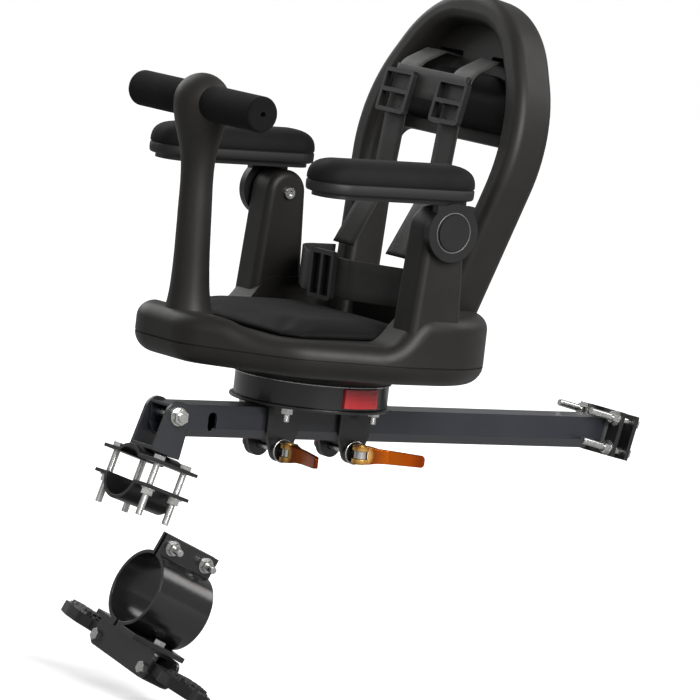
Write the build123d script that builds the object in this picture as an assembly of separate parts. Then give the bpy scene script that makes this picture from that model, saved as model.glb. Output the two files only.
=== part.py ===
"""Child seat for a bicycle: beam with two tube clamps, sliding seat carriage, swivel seat, footrest.

Frame in millimetres: +X is the way the child faces, +Y the child's left, +Z up.
The origin is the centre of the seat post bore, and the beam runs level along +X.
"""
from build123d import *
import os
from math import cos, hypot, radians, sin, tan

# Clearances
SLIDE_GAP = 0.3          # between faces that slide or swing past each other
RUNNING_GAP = 0.05       # radial gap of a pin that turns in its bore
HOLE_GAP = 0.4           # radial gap of a bolt in a plain hole
SOFT_GAP = 0.3           # soft goods to what carries them

# Beam
BEAM_SIZE = 30.0
BEAM_BEVEL = 9.0
BEAM_WALL = 2.5
BEAM_FRONT_X = 493.0
BEAM_SLOT_X = 445.0
BEAM_SLOT_WIDTH = 9.0
BEAM_SLOT_HEIGHT = 17.0

# Seat post clamp
SEATPOST_R = 15.8
SEATPOST_LEAN = 12.0     # degrees that the post leans back going up
SEATPOST_SHELL = 4.0
SEATPOST_CLAMP_HEIGHT = 42.0
SEATPOST_CLAMP_WIDTH = 66.0
SEATPOST_PLATE = 4.0
SEATPOST_SPLIT = 12.0    # open gap between the two clamp plates
SEATPOST_BOLT_Y = 25.0
SEATPOST_BOLT_Z = 14.0
SEATPOST_BOLT_TAIL = 24.0

# Fasteners
BOLT_R = 3.0
BOLT_HEX = 5.8           # corner radius of an M6 hexagon
BOLT_HEAD = 4.0
BOLT_NUT = 5.0
WASHER_R = 7.2
WASHER_THICK = 1.2

# Front clevis and top tube clamp
PIVOT_X = 484.0
PIVOT_Z = 4.5
PIVOT_R = 4.0
PIVOT_HEX = 7.4
PIVOT_HEAD = 5.0
PIVOT_TAIL = 2.0
PIVOT_WASHER_R = 8.4
CLEVIS_EAR = 3.5
CLEVIS_EAR_R = 13.0
CLEVIS_BASE_LENGTH = 30.0
TOPTUBE_R = 22.5
TOPTUBE_TILT = 17.0      # degrees that the tube falls going back
TOPTUBE_X = 500.6
TOPTUBE_Z = -54.7
SADDLE_SHEET = 3.2
SADDLE_LENGTH = 50.0
SADDLE_WIDTH = 82.0
UPPER_WING_N = 16.0      # height of the upper wing's under face over the tube's centre
LOWER_WING_N = -4.0      # height of the lower wing's top face
SADDLE_BOLT_PITCH = 30.0
SADDLE_BOLT_Y = 33.2
SADDLE_BOLT_TAIL = 19.0

# Sliding carriage
CARRIAGE_X = 333.0
SADDLE_PITCH = 78.0
EAR_THICK = 4.0
EAR_TOP_WIDTH = 33.0
EAR_BOTTOM_R = 10.5
SKEWER_Z = -23.0
SKEWER_R = 3.0
WEB_THICK = 3.0
FLANGE_R = 73.0
FLANGE_THICK = 3.0
FLANGE_BOLT_RADIUS = 58.0
FLANGE_BOLT_ANGLE = 36.0
FLANGE_BOLT_HEAD = 1.8
FLANGE_BOLT_TAIL = 7.0

# Quick release levers
LEVER_LENGTH = 56.0
LEVER_WIDTH = 16.0
LEVER_THICK = 4.0
LEVER_NECK = 16.0        # where the lever has narrowed to its blade
LEVER_BLADE = 13.0
LEVER_TIP = 10.5
LEVER_BOW = 2.0
LEVER_HEAD_R = 8.0
LEVER_PIN_R = 4.0
EYE_WALL = 2.4
LEVER_EYE = 7.0          # height of the skewer's eye between the lever's cheeks
CUP_R = 10.5
CUP_THICK = 5.0
ACORN_R = 8.5
ACORN_LENGTH = 13.0
ACORN_CROWN = 4.0        # solid end of the acorn nut, past the skewer's tip
FRONT_LEVER_OPEN = 96.0  # degrees that the front lever stands open
REAR_LEVER_OPEN = 35.0

# Turntable and latch
DRUM_R = 69.5
DRUM_HEIGHT = 21.5
DRUM_RIM_R = 70.6
DRUM_RIM = 1.6
DRUM_WALL = 4.0
SPIGOT_R = 30.0
SPIGOT_HEIGHT = 11.0
SLEEVE_WALL = 6.0
BEARER_THICK = 3.0
RETAINER_R = 35.0
RETAINER_THICK = 2.5
LATCH_WIDTH = 38.0
LATCH_HEIGHT = 17.0
LATCH_DEPTH = 14.0
LATCH_PROUD = 3.0
LATCH_TRAVEL = 5.0
LATCH_SPRING_ROOM = 9.0  # pocket depth left behind the pressed latch
LATCH_GROOVE = 1.2
LATCH_GROOVE_END = 4.0   # plain margin beside the grooves
LATCH_ANGLE = 96.0       # bearing of the latch round the drum, from +X towards +Y

# Seat base
NOSE_X = 504.0
NOSE_HALF_WIDTH = 40.0
NOSE_R = 46.0
HIP_X = 340.0
HIP_R = 90.0
FLANK_X = 432.0
FLANK_HALF_WIDTH = 120.0
FLANK_R = 60.0
BASE_REAR_X = 215.0
BASE_HALF_WIDTH = 148.0
REAR_R = 80.0
BASE_THICK = 56.0        # drum's top to the nose's top
BASE_RISE = 12.0         # base's underside over the drum's top
BOSS_R = 100.0           # where the boss on the drum meets the underside
SEAT_DIP = 11.0          # seat level under the nose's top
DIP_FRONT_X = 478.0      # dip's rise to the nose ends here
DIP_REAR_X = 308.0       # dip's rise to the haunches ends here
DIP_FLAT_FRONT_X = 440.0
DIP_FLAT_REAR_X = 358.0
HAUNCH_RISE = 19.0       # rear haunches over the nose's top
HAUNCH_INNER_Y = 106.0
HAUNCH_INNER_X = 255.0
HAUNCH_CORNER = 24.0
BASE_BOTTOM_FILLET = 18.0
BASE_TOP_FILLET = 14.0
CREASE_HEIGHT = 28.5
CREASE_DEPTH = 1.6

# Handle
POST_X = 474.0
POST_LEAN = 3.0          # degrees that the post leans forward going up
POST_R = 15.0
POST_FLARE_R = 30.0
POST_SINK = 20.0         # how far the post's flared root runs down inside the base
HEAD_R = 25.0
HEAD_HEIGHT = 184.0      # head centre over the seat base's top
GRIP_R = 16.0
BAR_R = 11.0
BAR_LENGTH = 196.0
BAR_WALL = 2.0
GRIP_END = 6.0
GRIP_ROUND = 3.0
GRIP_HOLE_R = 2.6

# Arm towers and armrests
TOWER_X = 306.0
TOWER_INNER_Y = 110.0
TOWER_WIDTH = 34.0
TOWER_FOOT = 58.0
TOWER_SINK = 30.0        # how far the tower's foot runs down inside the base
TOWER_FILLET = 7.0
HUB_Z = 194.0
HUB_R = 20.5
SCREW_R = 4.0
SCREW_HEAD_R = 5.2
ARM_DISC_R = 26.0
ARM_DISC_THICK = 8.0
CAP_R = 17.0
CAP_THICK = 3.0
CAP_STEP = 1.3
ARM_PLATE = 4.0
PLATE_INSET = 6.0        # pad edge over the plate's edge
PAD_LENGTH = 166.0
PAD_WIDTH = 56.0
PAD_WALL = 11.0
PAD_CROWN = 19.0
PAD_REAR = 28.0          # pad length behind the hub
PAD_LIFT = 24.0          # arm plate's under face over the hub's centre

# Backrest
BACK_X = 231.0
BACK_SINK = 20.0         # how far the hoop's legs run down inside the base
BACK_LEAN = 12.0
BACK_HEIGHT = 316.0
BACK_HALF_WIDTH = 132.0
BACK_FOOT_HALF = 84.0
BACK_WIDEST = 206.0
SHOULDER_R = 130.0
CROWN_HALF = 60.0
CROWN_R = 106.0
FILLET_SHARE = 0.98      # share of a wall that a rounding may take
RIM_WIDTH = 26.0
RIM_DEPTH = 40.0
RIM_FILLET = 9.0
PANEL_THICK = 12.0
PANEL_REAR = 4.0         # how far the panel's rear lies ahead of the hoop's rear
PANEL_BOTTOM = 186.0
WINDOW_CORNER = 16.0
BACK_PAD_THICK = 10.0
BACK_PAD_MARGIN = 9.0
BACK_PAD_SPLIT = 34.0    # height of the back pad's lower field
BACK_PAD_TOP = 252.0
BACK_PAD_HALF = 86.0
BACK_PAD_TOP_HALF = 50.0
BACK_PAD_CORNER = 16.0
BACK_PAD_SEAM = 2.0
STRAP_SLOT_V = 261.0
STRAP_SLOT_Y = 42.0
STRAP_SLOT_HEIGHT = 7.0

# Seat pad
SEAT_PAD_THICK = 12.0
SEAT_PAD_MARGIN = 18.0
SEAT_PAD_FRONT_X = 438.0

# Harness
WEB_WIDTH = 36.0
SHOULDER_WIDTH = 32.0
WEB_THICKNESS = 1.8
CHEST_WIDTH = 28.0
BUCKLE_BAR = 4.0
BUCKLE_THICK = 5.0
STRAP_LEAD = 5.0         # straight run out of the slot, beyond the pad's face
STRAP_REACH = 56.0       # how far ahead of the hoop's rear the straps hang
STRAP_HIGH_V = 240.0
STRAP_MID_V = 196.0
STRAP_LOW_REACH = 50.0
STRAP_TURN_R = 5.0       # bend out of the slot
STRAP_DROP_R = 20.0      # bend where the strap starts to hang
STRAP_HANG_R = 40.0      # slack bends lower down
STRAP_LOW_V = 140.0
STRAP_END_X = 287.0
STRAP_END_RISE = 6.0     # strap ends over the waist belt's upper edge
CHEST_V = 224.0
ADJUSTER_V = 212.0
LAP_FRONT_X = 331.0
LAP_HALF = 86.0
LAP_END_X = 264.6
LAP_TURN = 30.0          # length over which the belt turns in to the buckle
LAP_BEND_R = 26.0

# Footrest
DOWNTUBE_R = 33.0
DOWNTUBE_TILT = 22.0
DOWNTUBE_X = 468.5
DOWNTUBE_Z = -163.0
FOOTREST_ROLL = 9.0     # how far the footrest is turned about the down tube
FOOT_SHEET = 3.2
FOOT_CLAMP_LENGTH = 60.0
FOOT_FLANGE_HEIGHT = 19.0
FOOT_SPLIT = 4.0
FOOT_BOLT_PITCH = 40.0
FOOT_BOLT_TAIL = 9.0
SOLE_REACH = 35.0
SOLE_BOLT_Y = 26.0
SOLE_BOLT_TAIL = 2.0
PEDAL_BOLT_TAIL = 3.0
CHANNEL_HALF = 52.0
CHANNEL_WIDTH = 30.0
CHANNEL_DROP = 27.0
CHANNEL_FORWARD = -4.0
PEDAL_PIVOT_Y = 44.0
PEDAL_PIVOT_DROP = 15.0
PEDAL_LENGTH = 82.0
PEDAL_ROOT = 22.0        # where the broad plate starts, clear of the channel's walls
PEDAL_FLARE = 12.0       # length over which the plate widens
PEDAL_TAPER = 28.0       # length over which it narrows to its tip
PEDAL_WIDTH = 40.0
PEDAL_ROOT_R = 3.0
PEDAL_FLARE_R = 14.0
PEDAL_SIDE_R = 20.0
PEDAL_TIP_R = 8.0
PEDAL_THICK = 10.0
KNUCKLE_R = 9.0
TREAD_THICK = 4.0
TREAD_MARGIN = 4.0
TREAD_STEP = 1.5         # how far the bars stop short of the tread's edge
TREAD_RIBS = 6

# Levels that follow from the sizes above
HALF_BEAM = BEAM_SIZE / 2
WEB_TOP = HALF_BEAM + SLIDE_GAP + WEB_THICK
FLANGE_TOP = WEB_TOP + FLANGE_THICK
DRUM_BOTTOM = FLANGE_TOP + SLIDE_GAP
DRUM_TOP = DRUM_BOTTOM + DRUM_HEIGHT
BASE_TOP = DRUM_TOP + BASE_THICK
BASE_BOTTOM = DRUM_TOP + BASE_RISE
SEAT_TOP = BASE_TOP - SEAT_DIP
EAR_INNER_Y = HALF_BEAM + SLIDE_GAP
EAR_OUTER_Y = EAR_INNER_Y + EAR_THICK
TOWER_OUTER_Y = TOWER_INNER_Y + TOWER_WIDTH
TOWER_MID_Y = TOWER_INNER_Y + TOWER_WIDTH / 2
ARM_PLATE_Z = HUB_Z + PAD_LIFT
PAD_BOTTOM_Z = ARM_PLATE_Z + ARM_PLATE
FRONT_SADDLE_X = CARRIAGE_X + SADDLE_PITCH / 2
REAR_SADDLE_X = CARRIAGE_X - SADDLE_PITCH / 2
LEVER_PIN_Y = EAR_OUTER_Y + CUP_THICK + LEVER_HEAD_R + SLIDE_GAP

os.makedirs("parts", exist_ok=True)


def save(shape, name):
    """Write one node; loose solids are kept as one compound."""
    if isinstance(shape, (list, tuple)):
        shape = Compound(children=list(shape))
    export_step(shape, f"parts/{name}.step")


def rod(radius, length, start, direction):
    """Round bar from a start point along a direction."""
    return extrude(Plane(start, z_dir=direction) * Circle(radius), length)


def hexagon(corner_r, height, start, direction):
    return extrude(Plane(start, z_dir=direction) * RegularPolygon(corner_r, 6), height)


def washer_disc(start, direction, bore):
    ring = Circle(WASHER_R) - Circle(bore)
    return extrude(Plane(start, z_dir=direction) * ring, WASHER_THICK)


def hex_bolt(start, direction, length):
    """M6 bolt: the head's under face is at start, the shank runs along direction."""
    back = tuple(Vector(*direction) * -1)
    return hexagon(BOLT_HEX, BOLT_HEAD, start, back) + rod(BOLT_R, length, start, direction)


def hex_nut(start, direction):
    """M6 nut with its washer, bored for the bolt, resting on start."""
    seat = tuple(Vector(*start) + Vector(*direction) * WASHER_THICK)
    bore = rod(BOLT_R + RUNNING_GAP, BOLT_NUT + WASHER_THICK, start, direction)
    nut = hexagon(BOLT_HEX, BOLT_NUT, seat, direction)
    return nut + washer_disc(start, direction, BOLT_R) - bore


def mirrored(shape):
    return mirror(shape, about=Plane.XZ)


def rounded_outline(corners, radii):
    """Closed outline of straight runs whose corners are rounded by one radius each."""
    return make_face(FilletPolyline(*corners, radius=radii, close=True))


def tilted_plane(x, z, fall):
    """Plane in the beam's mid plane whose x axis points forward and rises by the angle given."""
    a = radians(fall)
    return Plane((x, 0, z), x_dir=(cos(a), 0, sin(a)), z_dir=(-sin(a), 0, cos(a)))


# Main beam
SEATPOST_FRAME = tilted_plane(0, 0, SEATPOST_LEAN).location
CLAMP_SHELL_R = SEATPOST_R + SEATPOST_SHELL
PLATE_FACE = SEATPOST_SPLIT / 2 + SEATPOST_PLATE
WELD_GAP = 0.1


def beam_section(inset):
    """Square section with the two lower corners bevelled."""
    half = HALF_BEAM - inset
    bevel = BEAM_BEVEL - inset * 0.6
    return Polygon((half, half), (-half, half), (-half, bevel - half), (bevel - half, -half),
                   (half - bevel, -half), (half, bevel - half), align=None)


def make_beam():
    section = beam_section(0) - beam_section(BEAM_WALL)
    rear = Plane((0, 0, 0), x_dir=(0, 1, 0), z_dir=(1, 0, 0))
    beam = extrude(rear * section, BEAM_FRONT_X)
    reach = SEATPOST_CLAMP_WIDTH
    behind = Pos(PLATE_FACE + WELD_GAP - reach, 0, 0) * Box(2 * reach, reach, 2 * reach)
    beam -= SEATPOST_FRAME * behind
    beam -= SEATPOST_FRAME * Cylinder(CLAMP_SHELL_R + WELD_GAP, 2 * reach)
    slot = Plane((BEAM_SLOT_X, HALF_BEAM, 0), x_dir=(0, 0, 1), z_dir=(0, 1, 0))
    beam -= extrude(slot * SlotOverall(BEAM_SLOT_HEIGHT, BEAM_SLOT_WIDTH), BEAM_SIZE + HALF_BEAM, both=True)
    beam -= rod(PIVOT_R + RUNNING_GAP, 2 * BEAM_SIZE, (PIVOT_X, -BEAM_SIZE, PIVOT_Z), (0, 1, 0))
    return beam


save(make_beam(), "main_beam")


# Seat post clamp: two flanged half shells drawn together by four long bolts
def clamp_half(side):
    """Half clamp on the front (+1) or rear (-1) of the seat post."""
    inner = SEATPOST_SPLIT / 2
    plate = Pos(side * (inner + SEATPOST_PLATE / 2), 0) * Rectangle(SEATPOST_PLATE, SEATPOST_CLAMP_WIDTH)
    reach = 2 * CLAMP_SHELL_R
    half_plane = Pos(side * (inner + reach / 2), 0) * Rectangle(reach, 2 * reach)
    section = plate + (Circle(CLAMP_SHELL_R) & half_plane) - Circle(SEATPOST_R)
    half = extrude(section, SEATPOST_CLAMP_HEIGHT / 2, both=True)
    for y, z in SEATPOST_BOLTS:
        half -= rod(BOLT_R + HOLE_GAP, 4 * reach, (-2 * reach, y, z), (1, 0, 0))
    return SEATPOST_FRAME * half


SEATPOST_BOLTS = [(y * SEATPOST_BOLT_Y, z * SEATPOST_BOLT_Z) for y in (-1, 1) for z in (-1, 1)]
SEATPOST_GRIP = 2 * PLATE_FACE
SEATPOST_BOLT_LENGTH = SEATPOST_GRIP + WASHER_THICK + BOLT_NUT + SEATPOST_BOLT_TAIL

save(clamp_half(1), "seatpost_clamp_front")
save(clamp_half(-1), "seatpost_clamp_rear")
save([SEATPOST_FRAME * hex_bolt((-PLATE_FACE, y, z), (1, 0, 0), SEATPOST_BOLT_LENGTH)
      for y, z in SEATPOST_BOLTS], "seatpost_clamp_bolts")
save([SEATPOST_FRAME * hex_nut((PLATE_FACE, y, z), (1, 0, 0)) for y, z in SEATPOST_BOLTS],
     "seatpost_clamp_nuts")


# Front clevis and top tube clamp, drawn in the tube's own frame with its z axis across the tube
TOPTUBE_FRAME = tilted_plane(TOPTUBE_X, TOPTUBE_Z, TOPTUBE_TILT).location
ARCH_R = TOPTUBE_R + SADDLE_SHEET
PIVOT_LOCAL = (TOPTUBE_FRAME.inverse() * Pos(PIVOT_X, 0, PIVOT_Z)).position
CLEVIS_BASE_Z = ARCH_R + WELD_GAP
ALONG_TUBE = Plane((-SADDLE_LENGTH / 2, 0, 0), x_dir=(0, 1, 0), z_dir=(1, 0, 0))


def make_clevis():
    """U bracket: a web on the upper saddle and two ears that hold the pivot bolt."""
    side = Plane((0, 0, 0), x_dir=(1, 0, 0), z_dir=(0, -1, 0))
    foot = Pos(0, CLEVIS_BASE_Z + CLEVIS_EAR / 2) * Rectangle(CLEVIS_BASE_LENGTH, CLEVIS_EAR)
    eye = Pos(PIVOT_LOCAL.X, PIVOT_LOCAL.Z) * Circle(CLEVIS_EAR_R)
    ear = make_hull(foot.edges() + eye.edges())
    ear_inner = HALF_BEAM + SLIDE_GAP
    ear_outer = ear_inner + CLEVIS_EAR
    bracket = extrude(side * ear, ear_outer, both=True)
    opening = Box(4 * BEAM_SIZE, 2 * ear_inner, 4 * BEAM_SIZE)
    opening = Pos(0, 0, CLEVIS_BASE_Z + CLEVIS_EAR + BEAM_SIZE * 2) * opening
    bracket -= opening
    pivot = (PIVOT_LOCAL.X, -2 * ear_outer, PIVOT_LOCAL.Z)
    return bracket - rod(PIVOT_R + RUNNING_GAP, 4 * ear_outer, pivot, (0, 1, 0))


def saddle(wing_under, keep_above):
    """Saddle plate: an arch over the tube with a flat wing on each side."""
    reach = 2 * SADDLE_WIDTH
    side = 1 if keep_above else -1
    level = wing_under if keep_above else wing_under + SADDLE_SHEET
    keep = Pos(0, level + side * reach / 2) * Rectangle(reach, reach)
    wings = Pos(0, wing_under + SADDLE_SHEET / 2) * Rectangle(SADDLE_WIDTH, SADDLE_SHEET)
    section = (Circle(ARCH_R) & keep) + wings - Circle(TOPTUBE_R)
    plate = extrude(ALONG_TUBE * section, SADDLE_LENGTH)
    for x, y in SADDLE_BOLTS:
        plate -= rod(BOLT_R + HOLE_GAP, 2 * reach, (x, y, -reach), (0, 0, 1))
    return plate


SADDLE_BOLTS = [(x, y) for x in (-SADDLE_BOLT_PITCH / 2, SADDLE_BOLT_PITCH / 2)
                for y in (-SADDLE_BOLT_Y, SADDLE_BOLT_Y)]
UPPER_WING_TOP = UPPER_WING_N + SADDLE_SHEET
LOWER_WING_UNDER = LOWER_WING_N - SADDLE_SHEET
SADDLE_BOLT_LENGTH = UPPER_WING_TOP - LOWER_WING_UNDER + WASHER_THICK + BOLT_NUT + SADDLE_BOLT_TAIL
EAR_FACE = HALF_BEAM + SLIDE_GAP + CLEVIS_EAR

save(TOPTUBE_FRAME * make_clevis(), "clevis_bracket")
save(TOPTUBE_FRAME * saddle(UPPER_WING_N, True), "upper_saddle")
save(TOPTUBE_FRAME * saddle(LOWER_WING_UNDER, False), "lower_saddle")
save([TOPTUBE_FRAME * hex_bolt((x, y, UPPER_WING_TOP), (0, 0, -1), SADDLE_BOLT_LENGTH)
      for x, y in SADDLE_BOLTS], "saddle_bolts")
save([TOPTUBE_FRAME * hex_nut((x, y, LOWER_WING_UNDER), (0, 0, -1)) for x, y in SADDLE_BOLTS],
     "saddle_nuts")

pivot_bolt = hexagon(PIVOT_HEX, PIVOT_HEAD, (PIVOT_X, -EAR_FACE, PIVOT_Z), (0, -1, 0))
pivot_length = 2 * EAR_FACE + WASHER_THICK + PIVOT_HEAD + PIVOT_TAIL
pivot_bolt += rod(PIVOT_R, pivot_length, (PIVOT_X, -EAR_FACE, PIVOT_Z), (0, 1, 0))
pivot_nut = hexagon(PIVOT_HEX, PIVOT_HEAD, (PIVOT_X, EAR_FACE + WASHER_THICK, PIVOT_Z), (0, 1, 0))
pivot_nut += rod(PIVOT_WASHER_R, WASHER_THICK, (PIVOT_X, EAR_FACE, PIVOT_Z), (0, 1, 0))
pivot_nut -= rod(PIVOT_R + RUNNING_GAP, 2 * EAR_FACE, (PIVOT_X, 0, PIVOT_Z), (0, 1, 0))
save(pivot_bolt, "clevis_pivot_bolt")
save(pivot_nut, "clevis_pivot_nut")


# Sliding carriage: a round flange on two U saddles that straddle the beam
def make_saddle(x):
    """U saddle: a web over the beam and an ear down each side, bored for the skewer."""
    side = Plane((x, 0, 0), x_dir=(1, 0, 0), z_dir=(0, -1, 0))
    shoulder = Pos(0, (WEB_TOP - HALF_BEAM / 2) / 2) * Rectangle(EAR_TOP_WIDTH, WEB_TOP + HALF_BEAM / 2)
    tip = Pos(0, SKEWER_Z) * Circle(EAR_BOTTOM_R)
    ear = make_hull(shoulder.edges() + tip.edges())
    block = extrude(side * ear, EAR_OUTER_Y, both=True)
    below_web = WEB_TOP - WEB_THICK
    block -= Pos(x, 0, below_web - BEAM_SIZE * 2) * Box(2 * BEAM_SIZE, 2 * EAR_INNER_Y, 4 * BEAM_SIZE)
    return block - rod(SKEWER_R + HOLE_GAP, 4 * BEAM_SIZE, (x, -2 * BEAM_SIZE, SKEWER_Z), (0, 1, 0))


FLANGE_BOLTS = [(CARRIAGE_X + sx * FLANGE_BOLT_RADIUS * cos(radians(FLANGE_BOLT_ANGLE)),
                 sy * FLANGE_BOLT_RADIUS * sin(radians(FLANGE_BOLT_ANGLE)))
                for sx in (-1, 1) for sy in (-1, 1)]
SPIGOT_TOP = FLANGE_TOP + SPIGOT_HEIGHT
AXLE_R = 4.0             # centre screw that keeps the turntable on its spigot
AXLE_SHORT = 2.0         # how far the screw ends above the spigot's foot


def make_flange():
    """Round flange with an upturned lip and the turntable's spigot."""
    disc = extrude(Plane((CARRIAGE_X, 0, WEB_TOP)) * Circle(FLANGE_R), FLANGE_THICK)
    disc = fillet(disc.edges(), FLANGE_THICK / 3)
    disc += rod(SPIGOT_R, SPIGOT_HEIGHT, (CARRIAGE_X, 0, FLANGE_TOP), (0, 0, 1))
    for x, y in FLANGE_BOLTS:
        disc -= rod(BOLT_R + HOLE_GAP, 4 * FLANGE_THICK, (x, y, WEB_TOP - FLANGE_THICK), (0, 0, 1))
    return disc - rod(AXLE_R + RUNNING_GAP, SPIGOT_HEIGHT, (CARRIAGE_X, 0, FLANGE_TOP + 1), (0, 0, 1))


def flange_bolt(x, y):
    """Low round head on the flange with the shank hanging through it."""
    head = rod(BOLT_HEX, FLANGE_BOLT_HEAD, (x, y, FLANGE_TOP), (0, 0, 1))
    length = FLANGE_THICK + WASHER_THICK + BOLT_NUT + FLANGE_BOLT_TAIL
    return head + rod(BOLT_R, length, (x, y, FLANGE_TOP), (0, 0, -1))


save(make_flange(), "base_flange")
save(make_saddle(FRONT_SADDLE_X), "front_clamp_saddle")
save(make_saddle(REAR_SADDLE_X), "rear_clamp_saddle")
save([flange_bolt(x, y) for x, y in FLANGE_BOLTS], "flange_bolts")
save([hex_nut((x, y, WEB_TOP), (0, 0, -1)) for x, y in FLANGE_BOLTS], "flange_nuts")
retainer = rod(RETAINER_R, RETAINER_THICK, (CARRIAGE_X, 0, SPIGOT_TOP), (0, 0, 1))
retainer += rod(AXLE_R, SPIGOT_HEIGHT - AXLE_SHORT, (CARRIAGE_X, 0, SPIGOT_TOP), (0, 0, -1))
save(retainer, "turntable_retainer")


# Quick releases: skewer, cup washer, cam lever on an upright pin, acorn nut on the far side
def make_skewer(x):
    """Skewer rod with a flat eye for the lever's pin."""
    far = -EAR_OUTER_Y - CUP_THICK / 2 - ACORN_LENGTH + ACORN_CROWN
    shank = rod(SKEWER_R, LEVER_PIN_Y - far, (x, far, SKEWER_Z), (0, 1, 0))
    pin_plane = Plane((x, LEVER_PIN_Y, SKEWER_Z))
    eye = extrude(pin_plane * Circle(LEVER_PIN_R + EYE_WALL), LEVER_EYE / 2, both=True)
    hole = extrude(pin_plane * Circle(LEVER_PIN_R + RUNNING_GAP), LEVER_EYE, both=True)
    return shank + eye - hole


def make_cup(x, side):
    """Cup washer between the ear and the lever or nut, dished on its outer face."""
    start = (x, side * EAR_OUTER_Y, SKEWER_Z)
    cup = rod(CUP_R, CUP_THICK, start, (0, side, 0))
    dish = rod(CUP_R - 2, CUP_THICK / 2, (x, side * (EAR_OUTER_Y + CUP_THICK / 2), SKEWER_Z), (0, side, 0))
    return cup - dish - rod(SKEWER_R + HOLE_GAP, CUP_THICK, start, (0, side, 0))


def make_acorn(x):
    """Tapered nut on the far end of the skewer."""
    start = -EAR_OUTER_Y - CUP_THICK / 2
    shape = Pos(x, start, SKEWER_Z) * Rot(90, 0, 0) * Cone(ACORN_R - 0.8, ACORN_R * 0.62, ACORN_LENGTH,
                                                          align=(Align.CENTER, Align.CENTER, Align.MIN))
    return shape - rod(SKEWER_R + RUNNING_GAP, ACORN_LENGTH - 2, (x, start, SKEWER_Z), (0, -1, 0))


def lever_side():
    """Side view of a lever: full height at the pin, a lower blade, round corners at the tip."""
    head = LEVER_WIDTH / 2
    blade = LEVER_BLADE / 2
    tip = LEVER_TIP / 2
    end = LEVER_LENGTH + LEVER_THICK / 2
    corners = [(-LEVER_HEAD_R, -head), (LEVER_HEAD_R, -head), (LEVER_NECK, -blade), (end, -tip),
               (end, tip), (LEVER_NECK, blade), (LEVER_HEAD_R, head), (-LEVER_HEAD_R, head)]
    corner = LEVER_TIP / 3
    return rounded_outline(corners, [0, corner, corner, corner, corner, corner, corner, 0])


def make_lever(x, opened):
    """Cam lever: two cheeks on the pin and a bowed blade, swung open by the angle given."""
    middle = Pos(LEVER_LENGTH * 0.45, LEVER_BOW) * Circle(LEVER_THICK / 2)
    end = Pos(LEVER_LENGTH, -LEVER_BOW) * Circle(LEVER_THICK / 2)
    root_face = make_hull(Circle(LEVER_HEAD_R * 0.62).edges() + middle.edges())
    tip_face = make_hull(middle.edges() + end.edges())
    lever = extrude(Circle(LEVER_HEAD_R) + root_face + tip_face, LEVER_WIDTH / 2, both=True)
    lever &= extrude(Plane.XZ * lever_side(), 4 * LEVER_HEAD_R, both=True)
    swing = LEVER_PIN_R + EYE_WALL + SLIDE_GAP
    gap = LEVER_EYE + 2 * SLIDE_GAP
    lever -= Pos(-LEVER_LENGTH / 2 + swing, 0, 0) * Box(LEVER_LENGTH, 4 * LEVER_HEAD_R, gap)
    lever -= extrude(Circle(LEVER_PIN_R + RUNNING_GAP), LEVER_WIDTH, both=True)
    return Pos(x, LEVER_PIN_Y, SKEWER_Z) * Rot(0, 0, 180 - opened) * lever


def make_lever_pin(x):
    return extrude(Plane((x, LEVER_PIN_Y, SKEWER_Z)) * Circle(LEVER_PIN_R), LEVER_WIDTH / 2 + 1, both=True)


for place, saddle_x, opened in (("front", FRONT_SADDLE_X, FRONT_LEVER_OPEN),
                                ("rear", REAR_SADDLE_X, REAR_LEVER_OPEN)):
    save(make_skewer(saddle_x), f"qr_skewer_{place}")
    save(make_lever(saddle_x, opened), f"qr_lever_{place}")
    save(make_lever_pin(saddle_x), f"qr_pin_{place}")
save([make_cup(x, side) for x in (FRONT_SADDLE_X, REAR_SADDLE_X) for side in (-1, 1)], "qr_cup_washers")
save([make_acorn(x) for x in (FRONT_SADDLE_X, REAR_SADDLE_X)], "qr_acorn_nuts")


# Turntable drum with the red latch in a window of its wall
LATCH_FRAME = Pos(CARRIAGE_X, 0, 0) * Rot(0, 0, LATCH_ANGLE)
LATCH_BOTTOM = DRUM_BOTTOM + FLANGE_BOLT_HEAD + SLIDE_GAP
LATCH_MID_Z = LATCH_BOTTOM + LATCH_HEIGHT / 2
LATCH_BACK = DRUM_R + LATCH_PROUD - LATCH_DEPTH
POCKET_WALL = 3.0
POCKET_BACK = LATCH_BACK - LATCH_TRAVEL - LATCH_SPRING_ROOM


def latch_block():
    """Latch body: a block with a curved face proud of the drum, drawn round the drum's axis."""
    block = Pos(LATCH_BACK + LATCH_DEPTH / 2, 0, LATCH_MID_Z) * Box(
        LATCH_DEPTH, LATCH_WIDTH, LATCH_HEIGHT)
    return block & Pos(0, 0, LATCH_MID_Z) * Cylinder(DRUM_R + LATCH_PROUD, 4 * LATCH_HEIGHT)


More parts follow.
